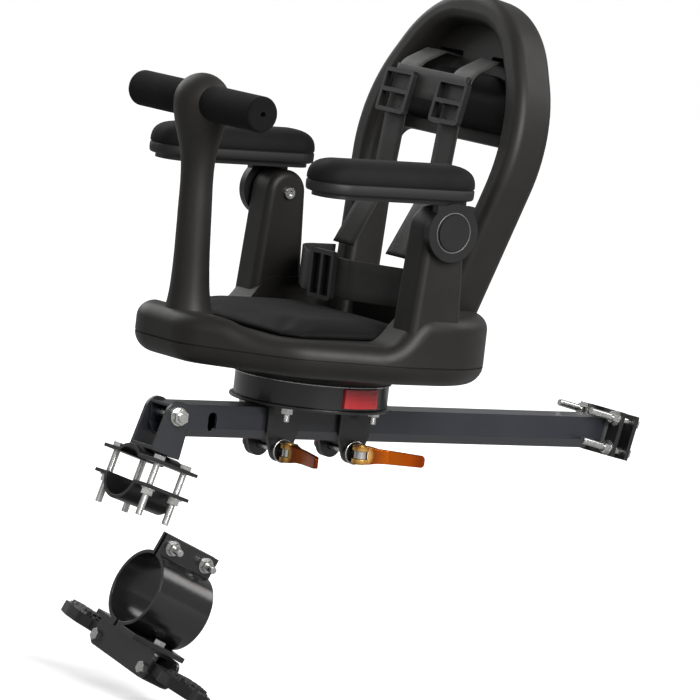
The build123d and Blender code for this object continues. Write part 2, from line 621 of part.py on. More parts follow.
def make_drum():
    axis = Plane((CARRIAGE_X, 0, DRUM_BOTTOM))
    top = DRUM_TOP - DRUM_WALL
    drum = extrude(axis * Circle(DRUM_R), DRUM_HEIGHT)
    drum += extrude(Plane((CARRIAGE_X, 0, DRUM_TOP - DRUM_RIM)) * Circle(DRUM_RIM_R), DRUM_RIM)
    drum -= extrude(axis * Circle(DRUM_R - DRUM_WALL), DRUM_HEIGHT - DRUM_WALL)
    sleeve = Circle(SPIGOT_R + SLEEVE_WALL) - Circle(SPIGOT_R + RUNNING_GAP)
    drum += extrude(axis * sleeve, SPIGOT_HEIGHT - 2 * SLIDE_GAP)
    bearer = Circle(DRUM_R - DRUM_WALL / 2) - Circle(SPIGOT_R + SLEEVE_WALL / 2)
    drum += extrude(Plane((CARRIAGE_X, 0, DRUM_BOTTOM + SPIGOT_HEIGHT - DRUM_WALL)) * bearer, BEARER_THICK)
    pocket_depth = DRUM_R - POCKET_BACK
    pocket = Pos(POCKET_BACK + pocket_depth / 2, 0, LATCH_MID_Z) * Box(
        pocket_depth - 1, LATCH_WIDTH + 2 * POCKET_WALL, LATCH_HEIGHT)
    shelf = Pos(POCKET_BACK - POCKET_WALL / 2, 0, LATCH_BOTTOM + (top - LATCH_BOTTOM) / 2) * Box(
        POCKET_WALL, LATCH_WIDTH + 2 * POCKET_WALL, top - LATCH_BOTTOM)
    inner_round = Pos(0, 0, LATCH_MID_Z) * Cylinder(DRUM_R - 1, 4 * DRUM_HEIGHT)
    drum -= LATCH_FRAME * (pocket & inner_round)
    drum += LATCH_FRAME * shelf
    way = Pos(POCKET_BACK + DRUM_R / 2, 0, LATCH_MID_Z) * Box(
        DRUM_R, LATCH_WIDTH + 2 * SLIDE_GAP, LATCH_HEIGHT + 2 * SLIDE_GAP)
    return drum - LATCH_FRAME * way


def make_latch():
    """Red latch with finger ribs on its face."""
    latch = latch_block()
    for row in (-1, 0, 1):
        groove = Cylinder(DRUM_R + 2 * LATCH_PROUD, LATCH_GROOVE)
        groove = Pos(0, 0, LATCH_MID_Z + row * LATCH_HEIGHT / 4) * groove
        groove -= Pos(0, 0, LATCH_MID_Z) * Cylinder(DRUM_R + LATCH_PROUD - LATCH_GROOVE / 2, 4 * LATCH_HEIGHT)
        latch -= groove & Pos(DRUM_R, 0, LATCH_MID_Z) * Box(
            4 * LATCH_DEPTH, LATCH_WIDTH - 2 * LATCH_GROOVE_END, 4 * LATCH_HEIGHT)
    return LATCH_FRAME * latch


save(make_drum(), "turntable_drum")
save(make_latch(), "latch_button")


# Seat shell: base, handle post, arm towers and backrest hoop in one foam moulding
def base_outline():
    """Plan of the seat base: a blunt nose, flanks that widen in two steps and broad rounded hips."""
    half = [(BASE_REAR_X, BASE_HALF_WIDTH), (HIP_X, BASE_HALF_WIDTH), (FLANK_X, FLANK_HALF_WIDTH),
            (NOSE_X, NOSE_HALF_WIDTH)]
    corners = half + [(x, -y) for x, y in reversed(half)]
    radii = [REAR_R, HIP_R, FLANK_R, NOSE_R]
    return rounded_outline(corners, radii + radii[::-1])


def over_seat():
    """Space over the base's top line, as a side view: low at the seat, higher at nose and haunches."""
    haunch = BASE_TOP + HAUNCH_RISE
    high = haunch + BASE_THICK
    rear_rise = Spline((DIP_REAR_X, haunch), (DIP_FLAT_REAR_X, SEAT_TOP), tangents=((1, 0), (1, 0)))
    floor = Line((DIP_FLAT_REAR_X, SEAT_TOP), (DIP_FLAT_FRONT_X, SEAT_TOP))
    front_rise = Spline((DIP_FLAT_FRONT_X, SEAT_TOP), (DIP_FRONT_X, BASE_TOP), tangents=((1, 0), (1, 0)))
    rest = Polyline((DIP_FRONT_X, BASE_TOP), (2 * NOSE_X, BASE_TOP), (2 * NOSE_X, high), (0, high),
                    (0, haunch),
                    (DIP_REAR_X, haunch))
    return make_face(rear_rise + floor + front_rise + rest)


def make_base():
    """Base: one moulding with a flowing top line, a parting groove and a boss on the drum."""
    plan = base_outline()
    haunch = BASE_TOP + HAUNCH_RISE
    base = extrude(Plane((0, 0, BASE_BOTTOM)) * plan, haunch - BASE_BOTTOM, dir=(0, 0, 1))
    base -= extrude(Plane.XZ * over_seat(), 2 * BASE_HALF_WIDTH, both=True)
    rim = base.edges().filter_by(lambda e: e.bounding_box().min.Z > SEAT_TOP - 1)
    across = rim.filter_by(Axis.Y).filter_by(lambda e: BASE_REAR_X + 1 < e.center().X < NOSE_X - 1)
    base = fillet(rim - across, BASE_TOP_FILLET)
    base = fillet(base.faces().sort_by(Axis.Z)[0].edges(), BASE_BOTTOM_FILLET)
    band = offset(plan, BASE_TOP_FILLET) - offset(plan, -CREASE_DEPTH)
    base -= extrude(Plane((0, 0, DRUM_TOP + CREASE_HEIGHT)) * band, CREASE_DEPTH, dir=(0, 0, 1))
    boss = Cone(DRUM_R, BOSS_R, BASE_RISE + CREASE_DEPTH, align=(Align.CENTER, Align.CENTER, Align.MIN))
    base += Pos(CARRIAGE_X, 0, DRUM_TOP) * boss
    well_length = DIP_FLAT_FRONT_X - HAUNCH_INNER_X
    well = RectangleRounded(well_length, 2 * HAUNCH_INNER_Y, HAUNCH_CORNER)
    middle = HAUNCH_INNER_X + well_length / 2
    return base - extrude(Plane((middle, 0, SEAT_TOP)) * well, BASE_THICK, dir=(0, 0, 1))


POST_AXIS = Pos(POST_X, 0, BASE_TOP) * Rot(0, POST_LEAN, 0)


def make_post(grow):
    """Turned handle post: flared root, slim neck and bulb head."""
    neck = POST_R + grow
    head = HEAD_R + grow
    root = -POST_SINK
    crown = CenterArc((0, HEAD_HEIGHT), head, 0, 90)
    side = Spline((head, HEAD_HEIGHT), (neck * 1.12, HEAD_HEIGHT - 1.7 * HEAD_R), (neck, HEAD_HEIGHT * 0.5),
                  (neck * 1.14, HEAD_HEIGHT * 0.14), (POST_FLARE_R + grow, root),
                  tangents=((0, -1), (0.7, -1)))
    foot = Line((POST_FLARE_R + grow, root), (0, root))
    axis_line = Line((0, root), (0, HEAD_HEIGHT + head))
    profile = make_face(crown + side + foot + axis_line)
    return POST_AXIS * revolve(Plane.XZ * profile, Axis.Z)


HEAD_CENTRE = (POST_AXIS * Pos(0, 0, HEAD_HEIGHT)).position


def make_tower(side):
    """Arm tower: round at the hub, wider at its foot, with softened edges."""
    face = Plane((TOWER_X, 0, 0), x_dir=(1, 0, 0), z_dir=(0, -1, 0))
    foot_z = BASE_TOP - TOWER_SINK
    foot = Pos(0, foot_z) * Rectangle(TOWER_FOOT, 2)
    hub = Pos(0, HUB_Z) * Circle(HUB_R)
    profile = make_hull(foot.edges() + hub.edges())
    tower = extrude(face * profile, -TOWER_WIDTH)
    tower = fillet(tower.edges().filter_by(Axis.Y, reverse=True), TOWER_FILLET)
    tower = Pos(0, TOWER_INNER_Y, 0) * tower
    return tower if side > 0 else mirrored(tower)


BACK_FOOT_Z = BASE_TOP - BACK_SINK
LEAN = radians(BACK_LEAN)
BACK_PLANE = Plane((BACK_X, 0, BACK_FOOT_Z), x_dir=(0, 1, 0), z_dir=(cos(LEAN), 0, sin(LEAN)))


def corner_reach(before, corner, after):
    """How far a rounding of radius 1 reaches along the two walls of a corner."""
    way_in = Vector(*corner) - Vector(*before)
    way_out = Vector(*after) - Vector(*corner)
    return tan(radians(way_in.get_angle(way_out)) / 2)


def back_outline(inset=0):
    """Backrest outline in its own plane: narrow foot, broad shoulders, rounded crown."""
    foot = BACK_FOOT_HALF - inset
    shoulder = BACK_HALF_WIDTH - inset
    crown = CROWN_HALF - inset * 0.6
    top = BACK_HEIGHT - inset
    crown_reach = corner_reach((shoulder, BACK_WIDEST), (crown, top), (-crown, top))
    crown_r = min(CROWN_R - inset * 1.75, FILLET_SHARE * crown / crown_reach)
    shoulder_reach = corner_reach((foot, 0), (shoulder, BACK_WIDEST), (crown, top))
    wall = hypot(shoulder - crown, top - BACK_WIDEST) - crown_r * crown_reach
    shoulder_r = min(SHOULDER_R, FILLET_SHARE * wall / shoulder_reach)
    flank = Polyline((foot, 0), (shoulder, BACK_WIDEST), (crown, top), (-crown, top),
                     (-shoulder, BACK_WIDEST), (-foot, 0), close=True)
    outline = make_face(flank)
    for point, radius in (((shoulder, BACK_WIDEST), shoulder_r), ((-shoulder, BACK_WIDEST), shoulder_r),
                          ((crown, top), crown_r), ((-crown, top), crown_r)):
        outline = fillet(outline.vertices().sort_by_distance((point[0], point[1], 0))[0], radius)
    return outline


def back_window():
    """Open window under the back panel, with rounded upper corners."""
    foot = BACK_FOOT_HALF - RIM_WIDTH
    head = foot + (BACK_HALF_WIDTH - BACK_FOOT_HALF) * PANEL_BOTTOM / BACK_WIDEST
    corners = [(-foot, 0), (foot, 0), (head, PANEL_BOTTOM), (-head, PANEL_BOTTOM)]
    return rounded_outline(corners, [0, 0, WINDOW_CORNER, WINDOW_CORNER])


def from_back(sketch, start, depth):
    """Solid over a sketch in the backrest's plane, from a start level and as deep as given."""
    return extrude(BACK_PLANE.offset(start) * sketch, depth, dir=tuple(BACK_PLANE.z_dir))


def edges_at_depth(solid, depth):
    return solid.edges().filter_by(lambda e: abs(BACK_PLANE.to_local_coords(e.center()).Z - depth) < 0.01)


def make_back():
    """Hoop with rounded rims, a panel across its upper half and two strap slots."""
    hoop = from_back(back_outline() - back_outline(RIM_WIDTH), 0, RIM_DEPTH)
    hoop = fillet(edges_at_depth(hoop, RIM_DEPTH), RIM_FILLET)
    hoop = fillet(edges_at_depth(hoop, 0), RIM_FILLET)
    reach = 2 * BACK_HEIGHT
    upper = Pos(0, PANEL_BOTTOM - WINDOW_CORNER + reach / 2) * Rectangle(reach, reach)
    panel_face = (back_outline(RIM_WIDTH * 0.7) & upper) - back_window()
    panel = from_back(panel_face, PANEL_REAR, PANEL_THICK)
    back = hoop + panel
    for side in (-1, 1):
        opening = SlotOverall(SHOULDER_WIDTH + STRAP_SLOT_HEIGHT + 1, STRAP_SLOT_HEIGHT)
        slot = Pos(side * STRAP_SLOT_Y, STRAP_SLOT_V) * opening
        back -= from_back(slot, -RIM_DEPTH, 3 * RIM_DEPTH)
    return back


def make_shell():
    shell = make_base() + make_post(0) + make_tower(-1) + make_tower(1) + make_back()
    for side in (-1, 1):
        inner = (TOWER_X, side * (TOWER_INNER_Y - 1), HUB_Z)
        shell -= rod(SCREW_R + RUNNING_GAP, 2 * TOWER_WIDTH, inner, (0, side, 0))
    bar_start = (HEAD_CENTRE.X, -BAR_LENGTH / 2, HEAD_CENTRE.Z)
    return shell - rod(BAR_R + RUNNING_GAP, BAR_LENGTH, bar_start, (0, 1, 0))


seat_shell = make_shell()
save(seat_shell, "seat_shell")


# Handle bar and grips
bar_start = (HEAD_CENTRE.X, -BAR_LENGTH / 2 + GRIP_END + SOFT_GAP, HEAD_CENTRE.Z)
bar_span = BAR_LENGTH - 2 * (GRIP_END + SOFT_GAP)
handle_bar = rod(BAR_R, bar_span, bar_start, (0, 1, 0))
handle_bar -= rod(BAR_R - BAR_WALL, bar_span, bar_start, (0, 1, 0))
save(handle_bar, "handle_bar")


def make_grip(side):
    """Foam grip with a closed end, scooped to the head's round face."""
    end = (HEAD_CENTRE.X, side * BAR_LENGTH / 2, HEAD_CENTRE.Z)
    span = BAR_LENGTH / 2 - HEAD_R / 2
    grip = rod(GRIP_R, span, end, (0, -side, 0))
    rim = grip.edges().filter_by(GeomType.CIRCLE).sort_by(Axis.Y)[-1 if side > 0 else 0]
    grip = fillet(rim, GRIP_ROUND)
    inside = (HEAD_CENTRE.X, side * (BAR_LENGTH / 2 - GRIP_END), HEAD_CENTRE.Z)
    grip -= rod(BAR_R + RUNNING_GAP, span, inside, (0, -side, 0))
    grip -= rod(GRIP_HOLE_R, GRIP_END, end, (0, -side, 0))
    return grip - make_post(SOFT_GAP)


save(make_grip(1), "grip_left")
save(make_grip(-1), "grip_right")


# Armrests: arm with a hub disc outside the tower, padded top, hub cap and pivot screw
ARM_DISC_Y = TOWER_OUTER_Y + SLIDE_GAP
PAD_MID_X = TOWER_X - PAD_REAR + PAD_LENGTH / 2
PAD_CORNER = PAD_WIDTH * 0.45
SCREW_HEAD = 3.0
SCREW_TIP = ARM_DISC_Y + ARM_DISC_THICK - CAP_THICK - 1


def pad_plan(inset):
    return RectangleRounded(PAD_LENGTH - 2 * inset, PAD_WIDTH - 2 * inset, PAD_CORNER - inset)


def make_arm():
    """Arm of the left armrest: hub disc, upright web and the plate under the pad."""
    face = Plane((TOWER_X, ARM_DISC_Y, HUB_Z), x_dir=(-1, 0, 0), z_dir=(0, 1, 0))
    web_width = 1.5 * ARM_DISC_R
    upright = Pos(0, PAD_LIFT / 2) * Rectangle(web_width, PAD_LIFT)
    arm = extrude(face * (Circle(ARM_DISC_R) + upright), ARM_DISC_THICK)
    recess = face.offset(ARM_DISC_THICK - CAP_THICK) * Circle(CAP_R + RUNNING_GAP)
    arm -= extrude(recess, CAP_THICK)
    arm += extrude(Plane((PAD_MID_X, TOWER_MID_Y, ARM_PLATE_Z)) * pad_plan(PLATE_INSET), ARM_PLATE)
    bore = (TOWER_X, ARM_DISC_Y, HUB_Z)
    return arm - rod(SCREW_R, SCREW_TIP - ARM_DISC_Y, bore, (0, 1, 0))


def make_arm_pad():
    """Crowned pad on the arm's plate."""
    pad = extrude(Plane((PAD_MID_X, TOWER_MID_Y, PAD_BOTTOM_Z)) * pad_plan(0), PAD_WALL + PAD_CROWN)
    return fillet(pad.faces().sort_by(Axis.Z)[-1].edges(), PAD_CROWN)


def make_hub_cap():
    """Round cap in the hub disc with a shallow step."""
    start = (TOWER_X, ARM_DISC_Y + ARM_DISC_THICK - CAP_THICK, HUB_Z)
    cap = rod(CAP_R, CAP_THICK, start, (0, 1, 0))
    crown = (TOWER_X, ARM_DISC_Y + ARM_DISC_THICK, HUB_Z)
    return cap + rod(CAP_R - CAP_STEP, CAP_STEP, crown, (0, 1, 0))


def make_pivot_screw():
    """Pivot screw: button head on the tower's inner face, shank through to the hub disc."""
    seat = (TOWER_X, TOWER_INNER_Y - SLIDE_GAP, HUB_Z)
    screw = rod(SCREW_HEAD_R, SCREW_HEAD, seat, (0, -1, 0))
    screw += rod(SCREW_R, SCREW_TIP - TOWER_INNER_Y + SLIDE_GAP, seat, (0, 1, 0))
    socket = (TOWER_X, TOWER_INNER_Y - SLIDE_GAP - SCREW_HEAD, HUB_Z)
    return screw - hexagon(SCREW_HEAD_R * 0.5, SCREW_HEAD * 0.6, socket, (0, 1, 0))


for piece, name in ((make_arm(), "armrest_arm"), (make_arm_pad(), "armrest_pad"),
                    (make_hub_cap(), "hub_cap"), (make_pivot_screw(), "pivot_screw")):
    save(piece, f"{name}_left")
    save(mirrored(piece), f"{name}_right")


# Seat pad and back pad
def make_seat_pad():
    """Pad on the base's flat top, cut clear of the post, towers and backrest."""
    plan = offset(base_outline(), -SEAT_PAD_MARGIN)
    reach = 2 * NOSE_X
    plan &= Pos(SEAT_PAD_FRONT_X - reach / 2, 0) * Rectangle(reach, reach)
    plan &= Pos(SEAT_PAD_FRONT_X / 2, 0) * Rectangle(reach, 2 * (HAUNCH_INNER_Y - SOFT_GAP))
    rear = BACK_X + RIM_DEPTH + RIM_FILLET
    plan &= Pos(rear + reach / 2, 0) * Rectangle(reach, reach)
    pad = extrude(Plane((0, 0, SEAT_TOP + SOFT_GAP)) * plan, SEAT_PAD_THICK, dir=(0, 0, 1))
    return fillet(pad.faces().sort_by(Axis.Z)[-1].edges(), SEAT_PAD_THICK * 0.6)


def make_back_pad():
    """Pad on the back panel with a sewn line across its lower part."""
    bottom = PANEL_BOTTOM + BACK_PAD_MARGIN
    corners = [(-BACK_PAD_HALF, bottom), (BACK_PAD_HALF, bottom),
               (BACK_PAD_HALF, bottom + BACK_PAD_CORNER * 1.5),
               (BACK_PAD_TOP_HALF, BACK_PAD_TOP), (-BACK_PAD_TOP_HALF, BACK_PAD_TOP),
               (-BACK_PAD_HALF, bottom + BACK_PAD_CORNER * 1.5)]
    radii = [BACK_PAD_CORNER * 0.6, BACK_PAD_CORNER * 0.6, BACK_PAD_CORNER, BACK_PAD_CORNER, BACK_PAD_CORNER,
             BACK_PAD_CORNER]
    rear = PANEL_REAR + PANEL_THICK + SOFT_GAP
    pad = from_back(rounded_outline(corners, radii), rear, BACK_PAD_THICK)
    pad = fillet(edges_at_depth(pad, rear + BACK_PAD_THICK), BACK_PAD_THICK * 0.4)
    seam = Pos(0, bottom + BACK_PAD_SPLIT) * Rectangle(4 * BACK_PAD_HALF, BACK_PAD_SEAM)
    return pad - from_back(seam, rear + BACK_PAD_THICK - BACK_PAD_SEAM, BACK_PAD_THICK)


save(make_seat_pad(), "seat_pad")
save(make_back_pad(), "back_pad")


# Harness: flat webbing that hangs from the back panel and lies round the waist
def back_point(depth, height):
    """Point of the backrest's mid plane as (X, Z)."""
    return (BACK_X + depth * cos(LEAN) - height * sin(LEAN),
            BACK_FOOT_Z + depth * sin(LEAN) + height * cos(LEAN))


PAD_FACE = PANEL_REAR + PANEL_THICK + SOFT_GAP + BACK_PAD_THICK
LAP_BOTTOM = BASE_TOP + SOFT_GAP + SEAT_PAD_THICK + BUCKLE_BAR + 1
LAP_TOP = LAP_BOTTOM + WEB_WIDTH


def make_shoulder_strap(side):
    """Webbing from its slot, hanging ahead of the back pad down to the waist."""
    rest = STRAP_SLOT_V - STRAP_SLOT_HEIGHT / 2 + SOFT_GAP + WEB_THICKNESS / 2
    path = FilletPolyline(back_point(PANEL_REAR, rest), back_point(PAD_FACE + STRAP_LEAD, rest),
                          back_point(STRAP_REACH, STRAP_HIGH_V), back_point(STRAP_REACH, STRAP_MID_V),
                          back_point(STRAP_LOW_REACH, STRAP_LOW_V), (STRAP_END_X, LAP_TOP + STRAP_END_RISE),
                          radius=[STRAP_TURN_R, STRAP_DROP_R, STRAP_HANG_R, STRAP_HANG_R])
    ribbon = Plane.XZ.offset(-side * STRAP_SLOT_Y) * trace(path, WEB_THICKNESS)
    return extrude(ribbon, SHOULDER_WIDTH / 2, both=True)


def make_lap_strap():
    """Waist belt: one band standing on edge round the seat pad."""
    near = [(LAP_FRONT_X, LAP_HALF * 0.4), (LAP_FRONT_X - LAP_TURN, LAP_HALF), (LAP_END_X, LAP_HALF)]
    far = [(x, -y) for x, y in reversed(near)]
    path = FilletPolyline(*far, *near, radius=LAP_BEND_R)
    return extrude(Plane((0, 0, LAP_BOTTOM)) * trace(path, WEB_THICKNESS), WEB_WIDTH, dir=(0, 0, 1))


def ladder_frame(width, height):
    """Plan of a ladder lock: a frame with a middle bar."""
    window = (width - 3 * BUCKLE_BAR) / 2
    frame = RectangleRounded(width, height, BUCKLE_BAR)
    for side in (-1, 1):
        frame -= Pos(side * (window + BUCKLE_BAR) / 2, 0) * Rectangle(window, height - 2 * BUCKLE_BAR)
    return frame


CHEST_DEPTH = STRAP_REACH + WEB_THICKNESS / 2 + SOFT_GAP
ADJUSTER_DEPTH = CHEST_DEPTH + WEB_THICKNESS + SOFT_GAP
BUCKLE_SIZE = WEB_WIDTH + 2 * BUCKLE_BAR + 1

lock = Rot(0, 0, 90) * ladder_frame(BUCKLE_SIZE * 0.9, BUCKLE_SIZE)
adjusters = []
for side, hand in ((1, "left"), (-1, "right")):
    save(make_shoulder_strap(side), f"shoulder_strap_{hand}")
    adjusters.append(from_back(Pos(side * STRAP_SLOT_Y, ADJUSTER_V) * lock, ADJUSTER_DEPTH, BUCKLE_THICK))
save(adjusters, "shoulder_adjusters")
chest_face = Pos(0, CHEST_V) * Rectangle(2 * STRAP_SLOT_Y + CHEST_WIDTH, CHEST_WIDTH)
save(from_back(chest_face, CHEST_DEPTH, WEB_THICKNESS), "chest_strap")
save(make_lap_strap(), "lap_strap")
waist_plane = Plane((LAP_FRONT_X + WEB_THICKNESS / 2 + SOFT_GAP, 0, LAP_BOTTOM + WEB_WIDTH / 2),
                    x_dir=(0, 1, 0), z_dir=(1, 0, 0))
waist_lock = waist_plane * ladder_frame(BUCKLE_SIZE * 0.8, BUCKLE_SIZE - 2 * SOFT_GAP)
save(extrude(waist_lock, BUCKLE_THICK, dir=(1, 0, 0)), "waist_buckle")


# Footrest, drawn in the down tube's frame: x forward along the tube, z across it
FOOT_FRAME = tilted_plane(DOWNTUBE_X, DOWNTUBE_Z, DOWNTUBE_TILT).location * Rot(-FOOTREST_ROLL, 0, 0)
FOOT_SHELL_R = DOWNTUBE_R + FOOT_SHEET
FOOT_FLANGE_TOP = FOOT_SHELL_R + FOOT_FLANGE_HEIGHT
FOOT_BOLT_Z = FOOT_SHELL_R + FOOT_FLANGE_HEIGHT / 2
SOLE_UNDER = -FOOT_SHELL_R - FOOT_SHEET
WEB_UNDER = SOLE_UNDER - FOOT_SHEET
CHANNEL_BOTTOM = SOLE_UNDER - CHANNEL_DROP
PEDAL_PIVOT_Z = WEB_UNDER - PEDAL_PIVOT_DROP
CHANNEL_FRONT = CHANNEL_FORWARD + CHANNEL_WIDTH / 2
CHANNEL_REAR = CHANNEL_FORWARD - CHANNEL_WIDTH / 2
FOOT_BOLTS = [-FOOT_BOLT_PITCH / 2, FOOT_BOLT_PITCH / 2]
FOOT_FACE = FOOT_SPLIT / 2 + FOOT_SHEET


def make_foot_clamp():
    """Left half clamp: half shell with a bolting flange on top and a flat sole below."""
    reach = 4 * DOWNTUBE_R
    keep = Pos(FOOT_SPLIT / 2 + reach / 2, 0) * Rectangle(reach, reach)
    flange_low = DOWNTUBE_R
    flange = Pos(FOOT_SPLIT / 2 + FOOT_SHEET / 2, (flange_low + FOOT_FLANGE_TOP) / 2) * Rectangle(
        FOOT_SHEET, FOOT_FLANGE_TOP - flange_low)
    sole = Pos(SOLE_REACH / 2, SOLE_UNDER + FOOT_SHEET * 0.75) * Rectangle(SOLE_REACH, FOOT_SHEET * 1.5)
    section = (Circle(FOOT_SHELL_R) + flange + sole - Circle(DOWNTUBE_R)) & keep
    along = Plane((-FOOT_CLAMP_LENGTH / 2, 0, 0), x_dir=(0, 1, 0), z_dir=(1, 0, 0))
    half = extrude(along * section, FOOT_CLAMP_LENGTH, dir=(1, 0, 0))
    for x in FOOT_BOLTS:
        half -= rod(BOLT_R + HOLE_GAP, reach, (x, -reach / 2, FOOT_BOLT_Z), (0, 1, 0))
    return half - rod(BOLT_R + HOLE_GAP, reach, (CHANNEL_FORWARD, SOLE_BOLT_Y, -FOOT_SHELL_R + 2), (0, 0, -1))


def make_channel():
    """Channel under the clamp: two side walls with round ends and a shorter web between them."""
    wall_mid = (SOLE_UNDER + CHANNEL_BOTTOM) / 2
    wall = RectangleRounded(2 * CHANNEL_HALF, CHANNEL_DROP, CHANNEL_DROP * 0.3)
    rear = Plane((CHANNEL_REAR, 0, wall_mid), x_dir=(0, 1, 0), z_dir=(1, 0, 0))
    front = Plane((CHANNEL_FRONT - FOOT_SHEET, 0, wall_mid), x_dir=(0, 1, 0), z_dir=(1, 0, 0))
    channel = extrude(rear * wall, FOOT_SHEET) + extrude(front * wall, FOOT_SHEET)
    web_half = SOLE_REACH - 2
    web = Box(CHANNEL_WIDTH, 2 * web_half, FOOT_SHEET)
    channel += Pos(CHANNEL_FORWARD, 0, SOLE_UNDER - FOOT_SHEET / 2) * web
    for side in (-1, 1):
        pivot = (CHANNEL_REAR - 1, side * PEDAL_PIVOT_Y, PEDAL_PIVOT_Z)
        channel -= rod(BOLT_R + RUNNING_GAP, CHANNEL_WIDTH + 2, pivot, (1, 0, 0))
        sole_bolt = (CHANNEL_FORWARD, side * SOLE_BOLT_Y, SOLE_UNDER + 1)
        channel -= rod(BOLT_R + HOLE_GAP, CHANNEL_DROP, sole_bolt, (0, 0, -1))
    return channel


def pedal_plan(inset):
    """Plan of a pedal: narrow root, broad middle, tapered round tip."""
    root = PEDAL_PIVOT_Y + PEDAL_ROOT + inset
    broad = root + PEDAL_FLARE
    tip = PEDAL_PIVOT_Y + PEDAL_LENGTH - inset
    narrow = tip - PEDAL_TAPER
    half = PEDAL_WIDTH / 2 - inset
    root_half = half * 0.6
    tip_half = half * 0.45
    corners = [(-root_half, root), (root_half, root), (half, broad), (half, narrow), (tip_half, tip),
               (-tip_half, tip), (-half, narrow), (-half, broad)]
    half_radii = [PEDAL_FLARE_R, PEDAL_SIDE_R, PEDAL_TIP_R]
    radii = [PEDAL_ROOT_R, PEDAL_ROOT_R, *half_radii, *reversed(half_radii)]
    return Pos(CHANNEL_FORWARD, 0) * rounded_outline(corners, radii)


PEDAL_TOP = PEDAL_PIVOT_Z + KNUCKLE_R


def make_pedal():
    """Left pedal: a hinge knuckle between the channel walls and a flat foot plate."""
    gap = CHANNEL_WIDTH - 2 * FOOT_SHEET - 2 * SLIDE_GAP
    start = (CHANNEL_FORWARD - gap / 2, PEDAL_PIVOT_Y, PEDAL_PIVOT_Z)
    pedal = rod(KNUCKLE_R, gap, start, (1, 0, 0))
    arm_length = PEDAL_ROOT + PEDAL_FLARE / 3
    pedal += Pos(CHANNEL_FORWARD, PEDAL_PIVOT_Y + arm_length / 2, PEDAL_TOP - PEDAL_THICK / 2) * Box(
        gap, arm_length, PEDAL_THICK)
    pedal += extrude(Plane((0, 0, PEDAL_TOP - PEDAL_THICK)) * pedal_plan(0), PEDAL_THICK, dir=(0, 0, 1))
    bore_start = (CHANNEL_FORWARD - gap, PEDAL_PIVOT_Y, PEDAL_PIVOT_Z)
    return pedal - rod(BOLT_R + RUNNING_GAP, 2 * gap, bore_start, (1, 0, 0))


def make_tread():
    """Rubber tread with raised bars across it."""
    tread = extrude(Plane((0, 0, PEDAL_TOP)) * pedal_plan(TREAD_MARGIN), TREAD_THICK * 0.5, dir=(0, 0, 1))
    first = PEDAL_PIVOT_Y + PEDAL_ROOT + 3 * TREAD_MARGIN
    pitch = (PEDAL_LENGTH - PEDAL_ROOT - 5 * TREAD_MARGIN) / (TREAD_RIBS - 1)
    for row in range(TREAD_RIBS):
        bar = Pos(CHANNEL_FORWARD, first + row * pitch) * Rectangle(2 * PEDAL_WIDTH, pitch * 0.5)
        rib = bar & pedal_plan(TREAD_MARGIN + TREAD_STEP)
        tread += extrude(Plane((0, 0, PEDAL_TOP + TREAD_THICK * 0.5)) * rib, TREAD_THICK * 0.5, dir=(0, 0, 1))
    return tread


def pedal_bolt(side):
    """Pivot bolt from the channel's front wall through the knuckle, with its lock nut behind."""
    head = (CHANNEL_FRONT, side * PEDAL_PIVOT_Y, PEDAL_PIVOT_Z)
    return hex_bolt(head, (-1, 0, 0), CHANNEL_WIDTH + WASHER_THICK + BOLT_NUT + PEDAL_BOLT_TAIL)


foot_left = make_foot_clamp()
pedal_left = make_pedal()
tread_left = make_tread()
save(FOOT_FRAME * foot_left, "downtube_clamp_left")
save(FOOT_FRAME * mirrored(foot_left), "downtube_clamp_right")
flange_bolt_length = 2 * FOOT_FACE + WASHER_THICK + BOLT_NUT + FOOT_BOLT_TAIL
save([FOOT_FRAME * hex_bolt((x, -FOOT_FACE, FOOT_BOLT_Z), (0, 1, 0), flange_bolt_length) for x in FOOT_BOLTS],
     "downtube_clamp_bolts")
save(FOOT_FRAME * make_channel(), "footrest_channel")
sole_top = SOLE_UNDER + FOOT_SHEET * 1.5
sole_bolt_length = sole_top - WEB_UNDER + WASHER_THICK + BOLT_NUT + SOLE_BOLT_TAIL
save([FOOT_FRAME * hex_bolt((CHANNEL_FORWARD, side * SOLE_BOLT_Y, sole_top), (0, 0, -1), sole_bolt_length)
      for side in (-1, 1)], "footrest_sole_bolts")
save([FOOT_FRAME * pedal_bolt(side) for side in (-1, 1)], "pedal_bolts")
foot_nuts = [hex_nut((x, FOOT_FACE, FOOT_BOLT_Z), (0, 1, 0)) for x in FOOT_BOLTS]
foot_nuts += [hex_nut((CHANNEL_FORWARD, side * SOLE_BOLT_Y, WEB_UNDER), (0, 0, -1)) for side in (-1, 1)]
foot_nuts += [hex_nut((CHANNEL_REAR, side * PEDAL_PIVOT_Y, PEDAL_PIVOT_Z), (-1, 0, 0)) for side in (-1, 1)]
save([FOOT_FRAME * nut for nut in foot_nuts], "footrest_nuts")
save(FOOT_FRAME * pedal_left, "pedal_left")
save(FOOT_FRAME * mirrored(pedal_left), "pedal_right")
save(FOOT_FRAME * tread_left, "pedal_tread_left")
save(FOOT_FRAME * mirrored(tread_left), "pedal_tread_right")
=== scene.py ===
"""Looks of the handlebar bike seat: materials, soft goods, harness, threads, camera and studio."""
import math
from itertools import product

import bmesh
import bpy
from mathutils import Matrix, Vector


